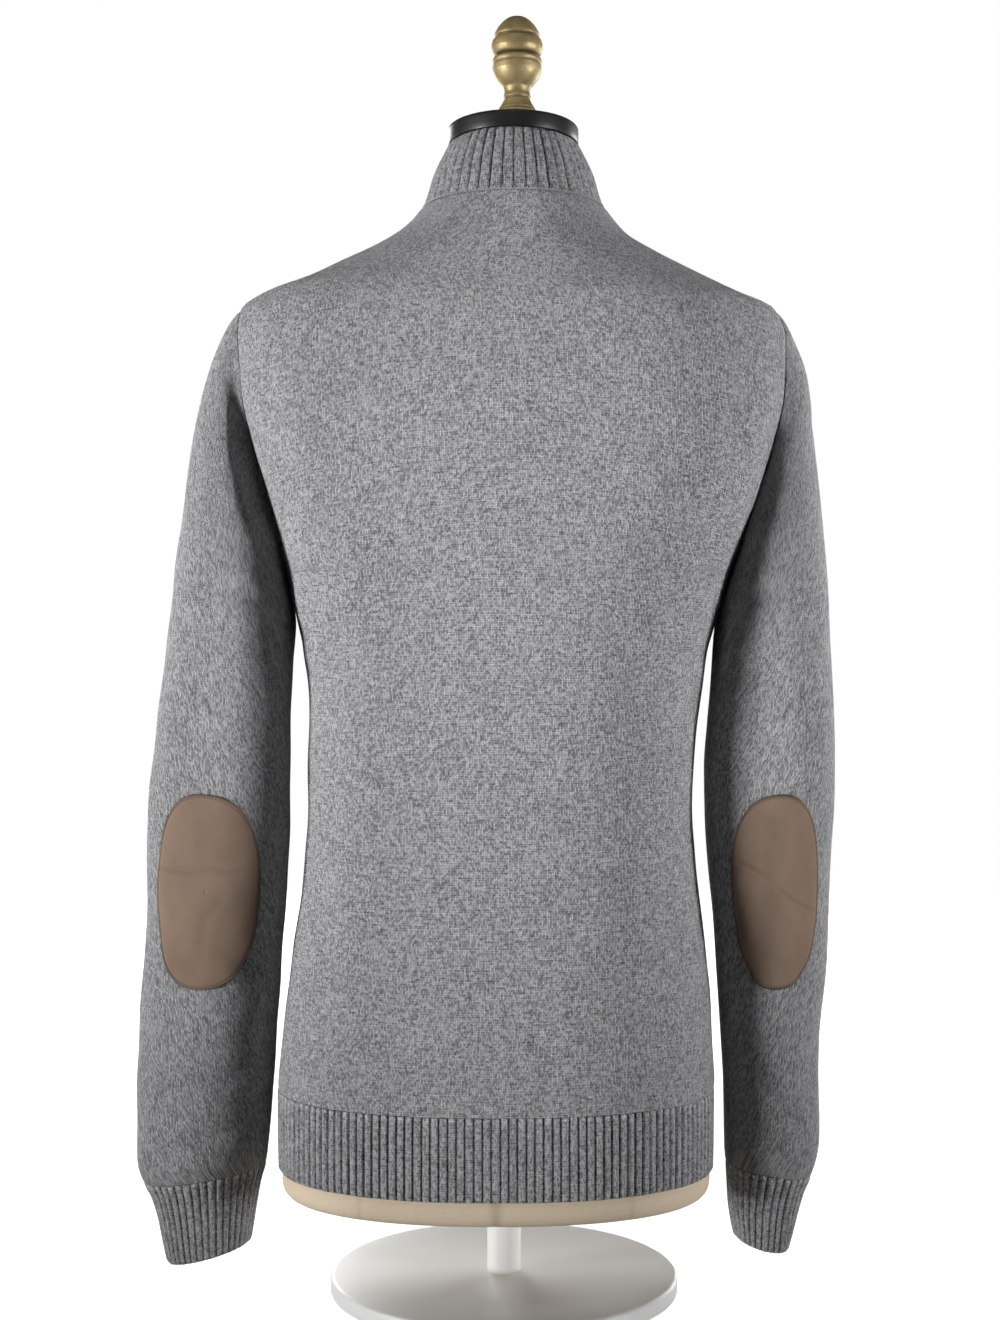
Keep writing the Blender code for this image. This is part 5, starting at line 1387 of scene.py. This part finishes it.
profile = [(CAP_BOTTOM, 2.0), (CAP_BOTTOM + 0.1, 0.8), (CAP_BOTTOM + 0.45, 0.15), (CAP_BOTTOM + 1.0, 0.0), (CAP_BOTTOM + 5.0, 0.0), (CAP_TOP - 3.0, 0.0),
           (CAP_TOP - 2.2, 0.08), (CAP_TOP - 1.5, 0.32), (CAP_TOP - 0.9, 0.75), (CAP_TOP - 0.45, 1.3), (CAP_TOP - 0.15, 2.0), (CAP_TOP, 2.9), (CAP_TOP, 6.0)]
cap = [ring(turn, z, z, NECK_X, CAP_HALF_WIDTH - d_, CAP_HALF_WIDTH - d_, CAP_HALF_DEPTH - d_, CAP_HALF_DEPTH - d_ - 1.0, 2.0) for z, d_ in profile]
stacked("neck_cap_lacquer", cap, LACQUER, None, "neck_cap")


def lathe(name, heights, radii, x, sides, material, node, groove=None):
    a = np.linspace(0, 2 * math.pi, sides, endpoint=False)
    rr = [np.stack([x + r * np.cos(a), r * np.sin(a), np.full(sides, z)], 1) for z, r in zip(heights, radii)]
    at = None if groove is None else {"groove": np.repeat(np.asarray(groove)[:, None], sides, 1)}
    return stacked(name, rr, material, at, node)


hs = np.linspace(871.1, 955.15, 420)
rs = smooth(FINIAL["height"][::-1][1:], FINIAL["radius"][::-1][1:], hs)
rs[-1] = 0.35
mark = np.zeros_like(hs)
for z, depth, width in ((939.4, 0.7, 0.7), (925.0, 1.2, 1.0), (919.2, 0.4, 0.5), (893.2, 0.6, 0.7), (898.0, 0.3, 2.0), (884.6, 0.5, 0.6), (876.6, 0.4, 0.6)):
    g = np.exp(-((hs - z) / width) ** 2)
    rs = rs - depth * g
    mark = np.maximum(mark, g * min(1.0, depth / 1.1))
lathe("finial_turned", hs, rs, FINIAL_X, 96, BRASS, "finial", mark)
lathe("stand_pole_tube", np.linspace(BASE_HEIGHT + 0.3, FORM_FOOT - 0.3, 12), np.full(12, POLE_RADIUS), 0.0, 72, PAINT, "stand_pole")
hs = np.array([0.0, 0.15, 0.8, 2.0, BASE_HEIGHT - 3.0, BASE_HEIGHT - 1.6, BASE_HEIGHT - 0.8, BASE_HEIGHT - 0.3, BASE_HEIGHT - 0.05, BASE_HEIGHT, BASE_HEIGHT])
rs = np.array([BASE_RADIUS - 0.8, BASE_RADIUS - 0.3, BASE_RADIUS, BASE_RADIUS, BASE_RADIUS, BASE_RADIUS - 0.3, BASE_RADIUS - 0.9, BASE_RADIUS - 1.7, BASE_RADIUS - 2.6, BASE_RADIUS - 3.6, BASE_RADIUS - 20])
lathe("stand_base_disc", hs, rs, 0.0, 160, PAINT, "stand_base")


# ------------------------------------------------------------------------------------------------
# camera, light and floor
# ------------------------------------------------------------------------------------------------
cam_data = bpy.data.cameras.new("camera")
cam = bpy.data.objects.new("camera", cam_data)
bpy.context.scene.collection.objects.link(cam)
cam.location = (0.003, 1.49, 0.471)
cam.rotation_euler = (math.radians(90), 0, math.radians(180))
cam_data.sensor_fit = "VERTICAL"
cam_data.sensor_height = 36.0
cam_data.lens = 53.97
cam_data.clip_start, cam_data.clip_end = 0.05, 60.0
bpy.context.scene.camera = cam


def softbox(name, place, target, width, height, power, spread=180.0):
    data = bpy.data.lights.new(name, "AREA")
    data.shape = "RECTANGLE"
    data.size, data.size_y = width, height
    data.energy = power
    data.spread = math.radians(spread)
    obj = bpy.data.objects.new(name, data)
    bpy.context.scene.collection.objects.link(obj)
    obj.location = place
    obj.rotation_euler = (Vector(target) - Vector(place)).to_track_quat("-Z", "Y").to_euler()
    return obj


softbox("key_left", (2.92, 1.30, 0.38), (-0.10, 0.0, 0.58), 0.8, 0.8, 6.5, 31.0)
softbox("key_right", (-2.92, 1.30, 0.38), (0.06, 0.0, 0.60), 0.8, 0.8, 4.6, 31.0)
softbox("cap_strip", (0.0, 1.0, 2.3), (0.0, 0.0, 0.87), 0.10, 0.10, 2.2)
softbox("front_fill", (0.9, -2.3, 0.9), (0.0, 0.0, 0.45), 1.2, 1.4, 50.0)
softbox("front_fill_2", (-1.6, -1.9, 0.7), (0.0, 0.0, 0.45), 1.0, 1.4, 34.0)

def floor_material():
    """Plain near-white paper, lit evenly to the camera and dull to everything else."""
    n = Nodes("floor_paper")
    grain = n.noise(n.object_at(40.0), 1.0, 2.0, 0.5)
    n.put(n.bsdf.inputs["Base Color"], n.tint((0.42, 0.42, 0.42), n.math("MULTIPLY_ADD", grain, 0.02, 0.99)))
    n.bsdf.inputs["Roughness"].default_value = 0.9
    n.bsdf.inputs["Emission Color"].default_value = (1, 1, 1, 1)
    seen = n.new("ShaderNodeLightPath").outputs["Is Camera Ray"]
    n.put(n.bsdf.inputs["Emission Strength"], n.math("MULTIPLY", seen, 0.95))
    return n.material


a = np.linspace(0, 2 * math.pi, 96, endpoint=False)
bands = np.array([0.2, 130.0, 300.0, 900.0, 2600.0])
disc = np.stack([np.stack([r * np.cos(a), r * np.sin(a), np.full_like(a, -0.02)], 1) for r in bands]).reshape(-1, 3)
i, j = np.meshgrid(np.arange(len(bands) - 1), np.arange(96), indexing="ij")
j2 = (j + 1) % 96
quads = np.stack([i * 96 + j, (i + 1) * 96 + j, (i + 1) * 96 + j2, i * 96 + j2], -1).reshape(-1, 4)
floor = mesh_from("floor", disc, quads, None, floor_material())

world = bpy.data.worlds.new("studio")
bpy.context.scene.world = world
world.use_nodes = True
wt = world.node_tree
bg = wt.nodes["Background"]
path = wt.nodes.new("ShaderNodeLightPath")
bg2 = wt.nodes.new("ShaderNodeBackground")
bg2.inputs[0].default_value = (1, 1, 1, 1)
bg2.inputs[1].default_value = 1.0
bg.inputs[0].default_value = (1, 1, 1, 1)
bg.inputs[1].default_value = 0.03
mixer = wt.nodes.new("ShaderNodeMixShader")
wt.links.new(path.outputs["Is Camera Ray"], mixer.inputs[0])
wt.links.new(bg.outputs[0], mixer.inputs[1])
wt.links.new(bg2.outputs[0], mixer.inputs[2])
wt.links.new(mixer.outputs[0], wt.nodes["World Output"].inputs[0])
bpy.context.scene.view_settings.view_transform = "Standard"
